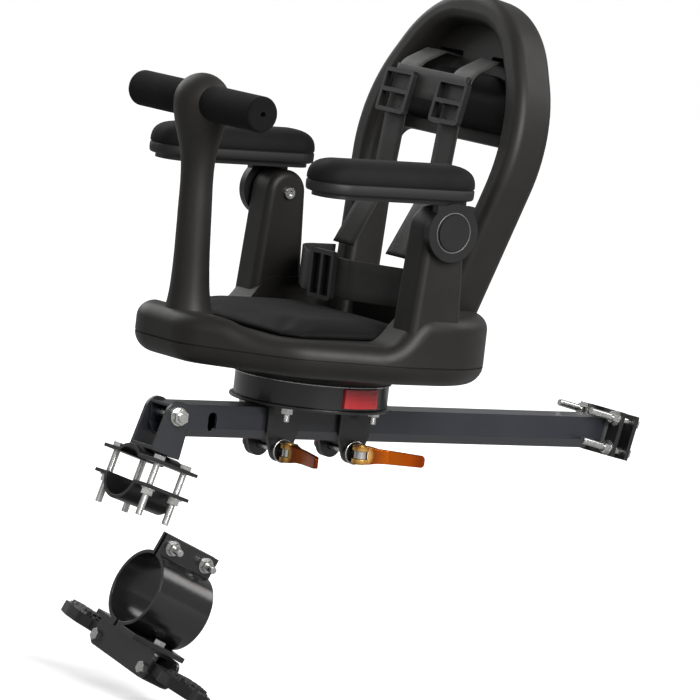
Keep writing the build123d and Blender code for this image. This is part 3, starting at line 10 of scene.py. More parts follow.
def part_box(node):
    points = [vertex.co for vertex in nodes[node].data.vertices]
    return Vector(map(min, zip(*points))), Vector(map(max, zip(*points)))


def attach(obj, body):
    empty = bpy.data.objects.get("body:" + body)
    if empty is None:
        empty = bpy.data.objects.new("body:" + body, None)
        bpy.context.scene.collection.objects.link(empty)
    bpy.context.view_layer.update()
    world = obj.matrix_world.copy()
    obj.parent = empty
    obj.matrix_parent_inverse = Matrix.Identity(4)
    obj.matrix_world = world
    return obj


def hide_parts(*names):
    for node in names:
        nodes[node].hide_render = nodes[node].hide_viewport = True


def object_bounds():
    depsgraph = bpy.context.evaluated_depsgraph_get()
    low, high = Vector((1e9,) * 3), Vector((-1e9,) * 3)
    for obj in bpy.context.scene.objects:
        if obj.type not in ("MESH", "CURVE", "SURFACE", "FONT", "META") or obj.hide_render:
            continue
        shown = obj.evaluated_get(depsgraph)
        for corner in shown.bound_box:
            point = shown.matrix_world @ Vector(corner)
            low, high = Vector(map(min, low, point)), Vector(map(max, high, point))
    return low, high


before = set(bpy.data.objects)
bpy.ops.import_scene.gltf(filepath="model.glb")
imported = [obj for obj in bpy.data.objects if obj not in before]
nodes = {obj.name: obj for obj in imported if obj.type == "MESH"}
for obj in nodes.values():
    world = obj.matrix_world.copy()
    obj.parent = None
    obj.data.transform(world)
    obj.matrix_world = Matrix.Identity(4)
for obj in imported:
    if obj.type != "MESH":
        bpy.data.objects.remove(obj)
CAD_LO, CAD_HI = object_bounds()
MM = 0.001
HANDS = ((1, "left"), (-1, "right"))
scene = bpy.context.scene

# camera: the photo's viewing angle, its focal length in the photo's pixels and its eye in metres
TURN, RISE, ROLL = math.radians(35.0), math.radians(6.3), math.radians(6.5)
PHOTO_PX, FOCAL_PX = 700, 20000 / 3
SENSOR = 36.0
EYE = Vector((3.71286, 4.88051, 0.72464))
NEAR, FAR = 0.1, 100


def add_camera():
    """Camera at the eye, turned, raised and rolled as the photo's was."""
    forward = -Vector((math.cos(RISE) * math.sin(TURN), math.cos(RISE) * math.cos(TURN), math.sin(RISE)))
    right = Vector((-math.cos(TURN), math.sin(TURN), 0))
    up = right.cross(forward)
    rolled_right = math.cos(ROLL) * right + math.sin(ROLL) * up
    rolled_up = -math.sin(ROLL) * right + math.cos(ROLL) * up
    data = bpy.data.cameras.new("camera")
    data.sensor_width = SENSOR
    data.lens = SENSOR * FOCAL_PX / PHOTO_PX
    data.clip_start, data.clip_end = NEAR, FAR
    camera = bpy.data.objects.new("camera", data)
    turn = Matrix((rolled_right, rolled_up, -forward)).transposed().to_4x4()
    camera.matrix_world = Matrix.Translation(EYE) @ turn
    scene.collection.objects.link(camera)
    scene.camera = camera


add_camera()

# materials: noise scales are waves to a metre, depths and edge radii are metres
TONE_WAVES, GLOSS_WAVES, SKIN_DEPTH = 14, 45, 0.0006
METAL_TONE_WAVES, METAL_GLOSS_WAVES, METAL_WAVES, METAL_DEPTH = 60, 180, 260, 0.0003
METAL_EDGE, PAINT_EDGE, LEVER_EDGE = 0.0006, 0.0008, 0.001
PAINT_WAVES, BEVEL_SAMPLES = 420, 4


def node(tree, kind, **settings):
    """New shader node with its settings."""
    made = tree.nodes.new(kind)
    for key, value in settings.items():
        setattr(made, key, value)
    return made


def begin(name, rough, metal=0.0, specular=0.5, coat=0.0, coat_rough=0.1, sheen=0.0):
    """New material with a principled shader and object coordinates."""
    mat = bpy.data.materials.new(name)
    mat.use_nodes = True
    tree = mat.node_tree
    shader = tree.nodes["Principled BSDF"]
    shader.inputs["Roughness"].default_value = rough
    shader.inputs["Metallic"].default_value = metal
    shader.inputs["Specular IOR Level"].default_value = specular
    shader.inputs["Coat Weight"].default_value = coat
    shader.inputs["Coat Roughness"].default_value = coat_rough
    shader.inputs["Sheen Weight"].default_value = sheen
    shader.inputs["Sheen Roughness"].default_value = 0.5
    place = node(tree, "ShaderNodeTexCoord").outputs["Object"]
    return mat, tree, shader, place


def noise(tree, place, scale, detail=4.0, rough=0.55):
    """Noise value at each place."""
    made = node(tree, "ShaderNodeTexNoise")
    made.inputs["Scale"].default_value = scale
    made.inputs["Detail"].default_value = detail
    made.inputs["Roughness"].default_value = rough
    tree.links.new(place, made.inputs["Vector"])
    return made.outputs["Fac"]


def tones(tree, fac, dark, light, low=0.3, high=0.7):
    """Colour that goes from a dark tone to a light one between two values."""
    ramp = node(tree, "ShaderNodeValToRGB")
    ramp.color_ramp.elements[0].position = low
    ramp.color_ramp.elements[0].color = (*dark, 1)
    ramp.color_ramp.elements[1].position = high
    ramp.color_ramp.elements[1].color = (*light, 1)
    tree.links.new(fac, ramp.inputs["Fac"])
    return ramp.outputs["Color"]


def span(tree, fac, low, high):
    """Value from 0 to 1 spread over a range."""
    made = node(tree, "ShaderNodeMapRange")
    made.inputs["To Min"].default_value = low
    made.inputs["To Max"].default_value = high
    tree.links.new(fac, made.inputs["Value"])
    return made.outputs["Result"]


def blend(tree, a, b, share=0.5):
    """Mix of two values, with a share for the second."""
    made = node(tree, "ShaderNodeMix")
    made.inputs["Factor"].default_value = share
    tree.links.new(a, made.inputs["A"])
    tree.links.new(b, made.inputs["B"])
    return made.outputs["Result"]


def bump(tree, shader, height, strength, distance):
    """Relief of the surface by a height value."""
    made = node(tree, "ShaderNodeBump")
    made.inputs["Strength"].default_value = strength
    made.inputs["Distance"].default_value = distance
    tree.links.new(height, made.inputs["Height"])
    tree.links.new(made.outputs["Normal"], shader.inputs["Normal"])
    return made


def rounded(tree, relief, radius):
    """Softens the sharp edges of a piece under its relief."""
    edge = node(tree, "ShaderNodeBevel")
    edge.samples = BEVEL_SAMPLES
    edge.inputs["Radius"].default_value = radius
    tree.links.new(edge.outputs["Normal"], relief.inputs["Normal"])


def coated(name, dark, light, rough, grain, strength, edge=0.0, **shader_set):
    """Foam, plastic and painted skins: two close tones, a fine grain and a little uneven gloss."""
    mat, tree, shader, place = begin(name, rough, **shader_set)
    tree.links.new(tones(tree, noise(tree, place, TONE_WAVES), dark, light), shader.inputs["Base Color"])
    gloss = span(tree, noise(tree, place, GLOSS_WAVES), rough * 0.85, min(1.0, rough * 1.15))
    tree.links.new(gloss, shader.inputs["Roughness"])
    relief = bump(tree, shader, noise(tree, place, grain, detail=2.0), strength, SKIN_DEPTH)
    if edge:
        rounded(tree, relief, edge)
    return mat


def painted(name, dark, light, rough, coat=0.3):
    """Powder coat: an orange-peel skin over softened edges."""
    return coated(name, dark, light, rough, grain=PAINT_WAVES, strength=0.1, edge=PAINT_EDGE, coat=coat,
                  coat_rough=0.25)


def metal(name, dark, light, rough, amount=1.0):
    """Plated and anodised metal: two tones, uneven gloss, a fine skin and softened edges."""
    mat, tree, shader, place = begin(name, rough, metal=amount)
    tone = tones(tree, noise(tree, place, METAL_TONE_WAVES), dark, light)
    tree.links.new(tone, shader.inputs["Base Color"])
    gloss = span(tree, noise(tree, place, METAL_GLOSS_WAVES), rough * 0.7, rough * 1.4)
    tree.links.new(gloss, shader.inputs["Roughness"])
    relief = bump(tree, shader, noise(tree, place, METAL_WAVES, detail=3.0), 0.12, METAL_DEPTH)
    rounded(tree, relief, METAL_EDGE)
    return mat


def weave(name, dark, light):
    """Webbing: fine ribs across and a slanted twill, in strap coordinates."""
    mat, tree, shader, place = begin(name, 0.50, specular=0.45, sheen=0.06)
    uv = node(tree, "ShaderNodeUVMap", uv_map="weave").outputs["UV"]
    heights = []
    for slant, scale in ((0.0, 250.0), (0.9, 190.0)):
        spot = node(tree, "ShaderNodeMapping")
        spot.inputs["Rotation"].default_value = (0, 0, slant)
        tree.links.new(uv, spot.inputs["Vector"])
        wave = node(tree, "ShaderNodeTexWave", wave_type="BANDS", bands_direction="Y")
        wave.inputs["Scale"].default_value = scale
        wave.inputs["Distortion"].default_value = 0.4
        tree.links.new(spot.outputs["Vector"], wave.inputs["Vector"])
        heights.append(wave.outputs["Fac"])
    height = blend(tree, *heights)
    shade = blend(tree, height, noise(tree, place, 55), 0.45)
    tree.links.new(tones(tree, shade, dark, light, 0.25, 0.75), shader.inputs["Base Color"])
    bump(tree, shader, height, 0.35, 0.0003)
    return mat


def wave_along(tree, place, direction, pitch):
    """Sine of the distance along a direction: one wave to each pitch."""
    reach = node(tree, "ShaderNodeVectorMath", operation="DOT_PRODUCT")
    reach.inputs[1].default_value = direction.normalized() * (2 * math.pi / pitch)
    tree.links.new(place, reach.inputs[0])
    wave = node(tree, "ShaderNodeMath", operation="SINE")
    tree.links.new(reach.outputs["Value"], wave.inputs[0])
    return wave.outputs["Value"]


def tread(name, along, across, dark, light, pitch=0.007, slant=0.7):
    """Moulded tread: raised diamonds on a dark ground, in the plane of two directions."""
    mat, tree, shader, place = begin(name, 0.62, specular=0.4)
    both = node(tree, "ShaderNodeMath", operation="MULTIPLY")
    tree.links.new(wave_along(tree, place, along + across * slant, pitch), both.inputs[0])
    tree.links.new(wave_along(tree, place, along - across * slant, pitch), both.inputs[1])
    lift = node(tree, "ShaderNodeMath", operation="MULTIPLY_ADD")
    lift.inputs[1].default_value = lift.inputs[2].default_value = 0.5
    tree.links.new(both.outputs["Value"], lift.inputs[0])
    tree.links.new(tones(tree, lift.outputs["Value"], dark, light, 0.46, 0.58), shader.inputs["Base Color"])
    bump(tree, shader, lift.outputs["Value"], 0.5, 0.001)
    return mat


# levers: gold forks at the pin, then orange that reddens towards the tip, by shares of the lever's reach
LEVER_REACH = 0.06
LEVER_STOPS = [(0.15, (0.86, 0.50, 0.13)), (0.21, (0.32, 0.060, 0.005)), (0.45, (0.66, 0.135, 0.004)),
               (0.75, (0.60, 0.100, 0.004)), (0.92, (0.36, 0.050, 0.004))]


def lever_coat(name, pin, strength):
    """Anodised lever whose colour follows the distance from its pin."""
    mat, tree, shader, place = begin(name, 0.26, metal=0.85)
    low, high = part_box(pin)
    away = node(tree, "ShaderNodeVectorMath", operation="DISTANCE")
    away.inputs[1].default_value = (low + high) / 2
    tree.links.new(place, away.inputs[0])
    share = node(tree, "ShaderNodeMapRange")
    share.inputs["From Max"].default_value = LEVER_REACH
    tree.links.new(away.outputs["Value"], share.inputs["Value"])
    ramp = node(tree, "ShaderNodeValToRGB")
    while len(ramp.color_ramp.elements) < len(LEVER_STOPS):
        ramp.color_ramp.elements.new(0.5)
    for spot, (position, colour) in zip(ramp.color_ramp.elements, LEVER_STOPS):
        spot.position = position
        spot.color = (*(c * strength for c in colour), 1)
    tree.links.new(share.outputs["Result"], ramp.inputs["Fac"])
    tree.links.new(ramp.outputs["Color"], shader.inputs["Base Color"])
    tree.links.new(span(tree, noise(tree, place, METAL_GLOSS_WAVES), 0.18, 0.34), shader.inputs["Roughness"])
    relief = bump(tree, shader, noise(tree, place, METAL_WAVES, detail=3.0), 0.10, METAL_DEPTH)
    rounded(tree, relief, LEVER_EDGE)
    return mat


FOAM = coated("foam_body", (0.0095, 0.0088, 0.0076), (0.0165, 0.0152, 0.0132), 0.48, grain=1500,
              strength=0.12, specular=0.30, sheen=0.02)
PAD = coated("pad_foam", (0.0032, 0.0032, 0.0032), (0.0058, 0.0057, 0.0055), 0.72, grain=1300,
             strength=0.2, specular=0.18, sheen=0.02)
PAD_BAND = coated("pad_band", (0.0035, 0.0035, 0.0038), (0.006, 0.006, 0.0065), 0.6, grain=1300, strength=0.2)
GRIP = coated("grip_foam", (0.0035, 0.0035, 0.0036), (0.0068, 0.0068, 0.0070), 0.9, grain=1800,
              strength=0.5, specular=0.14, sheen=0.02)
PLASTIC = coated("black_plastic", (0.0045, 0.0045, 0.0046), (0.0080, 0.0079, 0.0077), 0.42, grain=1100,
                 strength=0.12)
GLOSS_PLASTIC = coated("gloss_black", (0.0040, 0.0036, 0.0032), (0.0075, 0.0068, 0.0062), 0.24, grain=300,
                       strength=0.03, coat=0.3)
RED = coated("red_plastic", (0.84, 0.028, 0.040), (0.96, 0.060, 0.075), 0.25, grain=300, strength=0.03,
             coat=0.5)
# pale grey of the painted edge highlights: the rings round the hub caps
PAINTED_HIGHLIGHT = coated("painted_edge_highlight", (0.10, 0.10, 0.098), (0.16, 0.16, 0.155), 0.35, grain=300, strength=0.03,
              coat=0.3)
BEAM = painted("beam_coat", (0.016, 0.0175, 0.024), (0.023, 0.025, 0.034), 0.34, coat=0.25)
BLACK = painted("black_coat", (0.005, 0.005, 0.0055), (0.009, 0.009, 0.0095), 0.34)
SLATE = painted("slate_coat", (0.014, 0.015, 0.018), (0.022, 0.0235, 0.028), 0.36)
GLOSS = painted("gloss_coat", (0.006, 0.006, 0.0065), (0.010, 0.010, 0.011), 0.20, coat=0.6)
ZINC = metal("zinc", (0.50, 0.50, 0.49), (0.70, 0.70, 0.68), 0.26)
RED_METAL = metal("red_anodised", (0.16, 0.020, 0.014), (0.26, 0.035, 0.022), 0.30, amount=0.85)
BRASS = metal("brass", (0.62, 0.42, 0.14), (0.78, 0.56, 0.22), 0.25)
WEBBING = weave("webbing", (0.0050, 0.0048, 0.0043), (0.0170, 0.0162, 0.0142))
# the front lever is the rear one's coat darkened to 0.62, painted shade for a blade that faces away from the
# light
LEVERS = {end: lever_coat(f"lever_{end}", f"qr_pin_{end}", strength)
          for end, strength in (("front", 0.62), ("rear", 1.0))}

# finish of each node, where zinc is what bolts, nuts and the rest have
FINISH = [
    (FOAM, ["seat_shell"]),
    (PAD, ["seat_pad", "back_pad", "armrest_pad_left", "armrest_pad_right"]),
    (GRIP, ["grip_left", "grip_right"]),
    (PLASTIC, ["armrest_arm_left", "armrest_arm_right", "hub_cap_left", "hub_cap_right", "qr_cup_washers",
               "shoulder_adjusters", "waist_buckle", "pedal_left", "pedal_right"]),
    (GLOSS_PLASTIC, ["turntable_drum"]),
    (RED, ["latch_button"]),
    (BEAM, ["main_beam"]),
    (BLACK, ["base_flange", "front_clamp_saddle", "rear_clamp_saddle", "upper_saddle", "lower_saddle",
             "seatpost_clamp_front", "seatpost_clamp_rear"]),
    (SLATE, ["clevis_bracket"]),
    (GLOSS, ["downtube_clamp_left", "downtube_clamp_right", "footrest_channel"]),
    (RED_METAL, ["qr_acorn_nuts"]),
    (BRASS, ["qr_pin_front", "qr_pin_rear"]),
    (WEBBING, ["shoulder_strap_left", "shoulder_strap_right", "chest_strap", "lap_strap"]),
    (LEVERS["front"], ["qr_lever_front"]),
    (LEVERS["rear"], ["qr_lever_rear"]),
]
finish_of = {name: mat for mat, names in FINISH for name in names}
for name, obj in nodes.items():
    obj.data.materials.clear()
    obj.data.materials.append(finish_of.get(name, ZINC))


# helpers for pieces
def piece(name, verts, faces, mat, body):
    """Smooth mesh piece in the row frame that rides on a body."""
    mesh = bpy.data.meshes.new(name)
    mesh.from_pydata([Vector(v) for v in verts], [], faces)
    mesh.materials.append(mat)
    for poly in mesh.polygons:
        poly.use_smooth = True
    obj = bpy.data.objects.new(name, mesh)
    scene.collection.objects.link(obj)
    shape = bmesh.new()
    shape.from_mesh(mesh)
    bmesh.ops.recalc_face_normals(shape, faces=shape.faces)
    shape.to_mesh(mesh)
    shape.free()
    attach(obj, body)
    return obj


def joined(rows, count, closed=False):
    """Faces between rows of points, each row a loop: capped at both ends, or closed on itself."""
    faces = []
    for r in range(rows if closed else rows - 1):
        for k in range(count):
            n = (k + 1) % count
            q = (r + 1) % rows
            faces.append((r * count + k, r * count + n, q * count + n, q * count + k))
    if not closed:
        faces.append(tuple(range(count))[::-1])
        faces.append(tuple((rows - 1) * count + k for k in range(count)))
    return faces


def lathe(name, start, axis, profile, mat, body, steps=48, closed=False):
    """Piece turned about an axis: profile is (distance along, radius) in millimetres."""
    start, axis = Vector(start) * MM, Vector(axis).normalized()
    side = axis.orthogonal().normalized()
    other = axis.cross(side)
    verts = []
    for along, radius in profile:
        for k in range(steps):
            a = 2 * math.pi * k / steps
            verts.append(start + axis * along * MM + (side * math.cos(a) + other * math.sin(a)) * radius * MM)
    return piece(name, verts, joined(len(profile), steps, closed), mat, body)


def ring(name, centre, axis, radius, tube, mat, body, steps=72, sides=10):
    """Thin round ring about an axis, in millimetres."""
    angles = [2 * math.pi * k / sides for k in range(sides)]
    profile = [(tube * math.sin(a), radius + tube * math.cos(a)) for a in angles]
    return lathe(name, centre, axis, profile, mat, body, steps, closed=True)


def rounded_run(points, radii, step=4.0, bends=8):
    """Points in metres along straight runs with rounded corners, given in millimetres."""
    pts = [Vector(p) for p in points]
    run = [pts[0]]
    for before, corner, after, radius in zip(pts, pts[1:], pts[2:], radii):
        way_in, way_out = (corner - before).normalized(), (after - corner).normalized()
        reach = radius * math.tan(way_in.angle(way_out) / 2)
        start, end = corner - way_in * reach, corner + way_out * reach
        for k in range(bends + 1):
            t = k / bends
            run.append(start * (1 - t) ** 2 + corner * 2 * t * (1 - t) + end * t * t)
    run.append(pts[-1])
    even = [run[0]]
    for a, b in zip(run, run[1:]):
        parts = max(1, round((b - a).length / step))
        even += [a.lerp(b, (k + 1) / parts) for k in range(parts)]
    return [p * MM for p in even]


# webbing's section in half widths and half thicknesses: rounded selvedges and a slightly sunk middle
BAND_TOP = [(-1, 0), (-0.985, 0.7), (-0.95, 1), (-0.5, 0.92), (0, 0.9), (0.5, 0.92), (0.95, 1), (0.985, 0.7)]
BAND = BAND_TOP + [(-x, -z) for x, z in BAND_TOP]


def ribbon(name, run, across, width, thick, mat, body):
    """Flat band along a path, with strap coordinates for its weave; returns it and its length."""
    half, rise = width * MM / 2, thick * MM / 2
    verts, coords = [], []
    length = 0.0
    for i, p in enumerate(run):
        ahead = (run[min(i + 1, len(run) - 1)] - run[max(i - 1, 0)]).normalized()
        wide = (across - ahead * across.dot(ahead)).normalized()
        face = ahead.cross(wide)
        if i:
            length += (p - run[i - 1]).length
        for x, z in BAND:
            verts.append(p + wide * x * half + face * z * rise)
            coords.append((x * half, length))
    obj = piece(name, verts, joined(len(run), len(BAND)), mat, body)
    layer = obj.data.uv_layers.new(name="weave")
    for loop in obj.data.loops:
        layer.data[loop.index].uv = coords[loop.vertex_index]
    return obj, length


# back panel of the source, in millimetres: its foot and lean
BACK_X, BACK_FOOT_Z, LEAN = 231.0, 79.1, math.radians(12.0)
BACK_NORMAL = Vector((math.cos(LEAN), 0, math.sin(LEAN)))
BACK_UP = Vector((-math.sin(LEAN), 0, math.cos(LEAN)))
ACROSS = Vector((0, 1, 0))
UPRIGHT = Vector((0, 0, 1))


def back_point(depth, height, y):
    """Place at a depth before the panel's back and a height up it."""
    x = BACK_X + depth * math.cos(LEAN) - height * math.sin(LEAN)
    z = BACK_FOOT_Z + depth * math.sin(LEAN) + height * math.cos(LEAN)
    return Vector((x, y, z))


# harness: webbing where the source's straps lie, in millimetres
WEB_THICK, STRAP_Y, SHOULDER_WIDTH = 1.8, 42.0, 32.0
SHOULDER_ROUTE = [(2.8, 276.0), (2.8, 258.7), (31.3, 258.7), (56.0, 240.0), (56.0, 196.0), (50.0, 140.0)]
SHOULDER_TURNS = [3, 5, 20, 40, 40]
SHOULDER_END_X, SHOULDER_END_GAP = 287.0, 6.0
STOP_WIDTH, STOP_THICK, STOP_DEPTH, STOP_HEIGHTS = 52.0, 1.5, 1.0, (247.0, 273.0)
CHEST_HEIGHT, CHEST_DEPTH, CHEST_WIDTH = 224.0, 57.2, 28.0
CHEST_REACH = STRAP_Y + CHEST_WIDTH / 2
lap_low, lap_high = (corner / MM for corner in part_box("lap_strap"))
LAP_HALF, LAP_FRONT_X = lap_high.y - WEB_THICK / 2, lap_high.x - WEB_THICK / 2
LAP_WIDTH, LAP_Z = lap_high.z - lap_low.z, (lap_low.z + lap_high.z) / 2
LAP_TURN, LAP_BEND_R, LAP_FRONT_SHARE = 30.0, 26.0, 0.4


def strap(name, route, turns, across, width, source=None, thick=WEB_THICK):
    """Webbing along a route, in place of a solid where one is named."""
    obj, length = ribbon(name, rounded_run(route, turns), across, width, thick, WEBBING, "seat")
    if source:
        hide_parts(source)


for side, hand in HANDS:
    y = side * STRAP_Y
    route = [back_point(depth, height, y) for depth, height in SHOULDER_ROUTE]
    route.append((SHOULDER_END_X, y, lap_high.z + SHOULDER_END_GAP))
    strap(f"shoulder_webbing_{hand}", route, SHOULDER_TURNS, ACROSS, SHOULDER_WIDTH,
          source=f"shoulder_strap_{hand}")
    strap(f"strap_stop_{hand}", [back_point(STOP_DEPTH, height, y) for height in STOP_HEIGHTS], [], ACROSS,
          STOP_WIDTH, thick=STOP_THICK)

chest_route = [back_point(CHEST_DEPTH + WEB_THICK / 2, CHEST_HEIGHT, y) for y in (-CHEST_REACH, CHEST_REACH)]
strap("chest_webbing", chest_route, [], BACK_UP, CHEST_WIDTH,
      source="chest_strap")

lap_corners = [(lap_low.x, -LAP_HALF), (LAP_FRONT_X - LAP_TURN, -LAP_HALF),
               (LAP_FRONT_X, -LAP_HALF * LAP_FRONT_SHARE)]
lap_corners += [(x, -y) for x, y in reversed(lap_corners)]
strap("lap_webbing", [(x, y, LAP_Z) for x, y in lap_corners], [LAP_BEND_R] * 4, UPRIGHT, LAP_WIDTH,
      source="lap_strap")

# cushions: even copies of the soft solids, blown up as cloth and held where they rest, in metres
CUSHION_FILL, CUSHION_VOXEL = 0.7, 0.0045
SETTLE_DEPTH, HELD_DEPTH = 0.006, 0.003
CLOTH_FRAMES, CLOTH_PRESSURE = 20, 4.0
SEAT_INSET, SEAT_SWELL = 0.0035, 0.006
BACK_INSET, BACK_SWELL = 0.003, 0.005


def applied(obj):
    """Mesh of an object with its modifiers applied."""
    bpy.context.view_layer.update()
    return bpy.data.meshes.new_from_object(obj.evaluated_get(bpy.context.evaluated_depsgraph_get()))


def blank(name, source, down, inset):
    """Evenly meshed copy of a soft solid, drawn in by an inset but for the face that it rests on."""
    data = nodes[source].data.copy()
    lowest = max(v.co.dot(down) for v in data.vertices)
    low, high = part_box(source)
    middle = (low + high) / 2
    for v in data.vertices:
        flat = v.co - middle
        flat -= down * flat.dot(down)
        v.co -= flat.normalized() * inset
        v.co += down * inset * min(1.0, (lowest - v.co.dot(down)) / SETTLE_DEPTH)
    obj = bpy.data.objects.new(name, data)
    scene.collection.objects.link(obj)
    even = obj.modifiers.new("remesh", "REMESH")
    even.mode, even.voxel_size = "VOXEL", CUSHION_VOXEL
    base = applied(obj)
    obj.modifiers.clear()
    obj.data = base
    return obj


def swell(obj, down, most):
    """Blows a cushion up under pressure, held where it rests; no point moves farther than the most."""
    start = [v.co.copy() for v in obj.data.vertices]
    lowest = max(co.dot(down) for co in start)
    held = obj.vertex_groups.new(name="held")
    held.add([i for i, co in enumerate(start) if lowest - co.dot(down) < HELD_DEPTH], 1.0, "REPLACE")
    cloth = obj.modifiers.new("cloth", "CLOTH")
    cloth.settings.quality = 6
    cloth.settings.mass = 0.25
    cloth.settings.tension_stiffness = cloth.settings.compression_stiffness = 12
    cloth.settings.shear_stiffness = 6
    cloth.settings.bending_stiffness = 0.6
    cloth.settings.use_pressure = True
    cloth.settings.uniform_pressure_force = CLOTH_PRESSURE
    cloth.settings.vertex_group_mass = "held"
    cloth.settings.effector_weights.gravity = 0.0
    cloth.collision_settings.use_collision = False
    for number in range(1, CLOTH_FRAMES + 1):
        scene.frame_set(number)
    blown = applied(obj)
    for v, was, now in zip(obj.data.vertices, start, blown.vertices):
        move = now.co - was
        move *= min(1.0, most / max(move.length, 1e-9))
        v.co = was + move
    obj.modifiers.clear()
    scene.frame_set(1)


def cushion(name, source, down, inset, most):
    """Cushion in the shape of a soft solid, which rests on its face in the direction down."""
    obj = blank(name, source, down, inset)
    swell(obj, down, most)
    return obj


def finish_cushion(obj, source):
    """Smooths a cushion, sets it on the seat and hides the solid whose place it takes."""
    smooth = obj.modifiers.new("smooth", "SMOOTH")
    smooth.factor, smooth.iterations = 0.5, 4
    finer = obj.modifiers.new("finer", "SUBSURF")
    finer.levels = finer.render_levels = 1
    made = applied(obj)
    obj.modifiers.clear()
    obj.data = made
    made.materials.clear()
    made.materials.append(PAD)
    for poly in made.polygons:
        poly.use_smooth = True
    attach(obj, "seat")
    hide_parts(source)


# sewn line across the back cushion: its height and the panel's face in millimetres, its press in metres
SEAM_HEIGHT, PANEL_FACE = 229.0, 17.0
SEAM_HALF, SEAM_DEPTH, SEAM_SHARE, SEAM_CLEAR = 0.005, 0.0035, 0.5, 0.003


def press_seam(obj):
    """Presses the sewn line into the cushion's front."""
    seam = back_point(0, SEAM_HEIGHT, 0) * MM
    rear_face = back_point(PANEL_FACE, 0, 0).dot(BACK_NORMAL) * MM
    for v in obj.data.vertices:
        off = (v.co - seam).dot(BACK_UP) / SEAM_HALF
        ahead = v.co.dot(BACK_NORMAL) - rear_face
        if abs(off) < 1 and ahead > SEAM_CLEAR:
            press = min(SEAM_DEPTH, ahead * SEAM_SHARE)
            v.co -= BACK_NORMAL * press * (math.cos(math.pi * off) + 1) / 2


finish_cushion(cushion("seat_cushion", "seat_pad", -UPRIGHT, SEAT_INSET, SEAT_SWELL), "seat_pad")
back_cushion = cushion("back_cushion", "back_pad", -BACK_NORMAL, BACK_INSET, BACK_SWELL)
press_seam(back_cushion)
finish_cushion(back_cushion, "back_pad")

# armrest pads: moulded foam, as levels of (height, inset) in millimetres for foot, pressed line and crown
PAD_FOOT = [(0.0, 3.0), (0.6, 1.2), (2.0, 0.3), (5.0, 0.0)]
PAD_LINE = [(8.6, 0.1), (9.4, 0.5), (10.0, 1.4), (10.6, 0.5), (11.4, 0.1)]
PAD_CROWN = [(14.5, 0.2), (18.0, 0.9), (21.0, 2.2), (23.6, 4.2), (25.8, 7.0), (27.4, 10.2), (28.6, 14.0),
             (29.4, 18.0), (29.8, 22.0)]
PAD_LEVELS = PAD_FOOT + PAD_LINE + PAD_CROWN
PAD_CORNER, PAD_CORNER_CUT = 0.45, 0.44
BAND_HEIGHT, ARM_FILL = 9.5, 0.9


def stadium(length, width, corner, steps=14):
    """Outline of a rounded rectangle about the origin, in millimetres."""
    pts = []
    for cx, cy, start in ((1, 1, 0), (-1, 1, 90), (-1, -1, 180), (1, -1, 270)):
        for k in range(steps + 1):
            a = math.radians(start + 90 * k / steps)
            x = cx * (length / 2 - corner) + corner * math.cos(a)
            y = cy * (width / 2 - corner) + corner * math.sin(a)
            pts.append((x, y))
    return pts


def armrest_cushion(hand):
    """Pad lofted through its levels, with a crowned top over a pressed line and a dark side band."""
    source = f"armrest_pad_{hand}"
    low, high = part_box(source)
    mid = (low + high) / 2
    length, width = (high.x - low.x) / MM, (high.y - low.y) / MM
    verts = []
    for z, inset in PAD_LEVELS:
        corner = width * PAD_CORNER - min(inset, width * PAD_CORNER_CUT)
        row = stadium(length - 2 * inset, width - 2 * inset, corner)
        verts += [(mid.x + x * MM, mid.y + y * MM, low.z + z * MM) for x, y in row]
    faces = joined(len(PAD_LEVELS), len(row))
    pad = piece(f"armrest_cushion_{hand}", verts, faces, PAD, f"armrest_{hand}")
    pad.data.materials.append(PAD_BAND)
    for poly in pad.data.polygons:
        if poly.center.z < low.z + BAND_HEIGHT * MM:
            poly.material_index = 1
    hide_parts(source)


for _, hand in HANDS:
    armrest_cushion(hand)


# threads on the bolts' free ends, in millimetres of the frame that carries them
def tilted(x, z, rise, roll=0.0):
    """Matrix of a frame in the beam's mid plane whose x axis rises by an angle, rolled about that axis."""
    turn = Matrix.Rotation(-math.radians(rise), 4, "Y") @ Matrix.Rotation(math.radians(roll), 4, "X")
    return Matrix.Translation((x, 0, z)) @ turn


drum_low, drum_high = (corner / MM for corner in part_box("turntable_drum"))
DRUM_X, DRUM_R = (drum_low.x + drum_high.x) / 2, drum_high.y
POST_FRAME = tilted(0, 0, 12.0)
TUBE_FRAME = tilted(500.6, -54.7, 17.0)
FOOT_FRAME = tilted(468.5, -163.0, 22.0, -9.0)
DRUM_FRAME = tilted(DRUM_X, 0, 0.0)
BOLT_R, PITCH, THREAD_ROOT, THREAD_CREST, TAIL_SHARE = 3.0, 1.0, 0.03, 0.28, 0.9
POST_BOLT_X, POST_BOLT_Y, POST_BOLT_Z, POST_TAIL = 16.3, 25.0, 14.0, 23.0
SADDLE_BOLT_X, SADDLE_BOLT_Y = 15.0, 33.2
SADDLE_THREADS = {"thread": (-13.5, 18.0), "shank": (15.8, 19.0)}
FLANGE_BOLT_R, FLANGE_BOLT_TURN, FLANGE_TAIL_Z, FLANGE_TAIL = 58.0, math.radians(36.0), 12.0, 6.0
FOOT_BOLT_X, FOOT_BOLT_Y, FOOT_BOLT_Z, FOOT_TAIL = 20.0, 11.5, 45.7, 8.0


def threads(name, frame_of, start, axis, length, body):
    """Thread rings over a bolt's tail, from its start along an axis of the frame."""
    count = int(length / PITCH)
    root, crest = BOLT_R + THREAD_ROOT, BOLT_R + THREAD_CREST
    profile = [(0.0, BOLT_R * TAIL_SHARE)]
    for k in range(count):
        profile += [((k + 0.15) * PITCH, root), ((k + 0.5) * PITCH, crest), ((k + 0.85) * PITCH, root)]
    profile.append((count * PITCH, BOLT_R * TAIL_SHARE))
    lathe(name, frame_of @ Vector(start), frame_of.to_3x3() @ Vector(axis), profile, ZINC, body, steps=20)


def both_ways(*reaches):
    """Places on both sides of the middle along each direction, in order."""
    return product(*((-reach, reach) for reach in reaches))


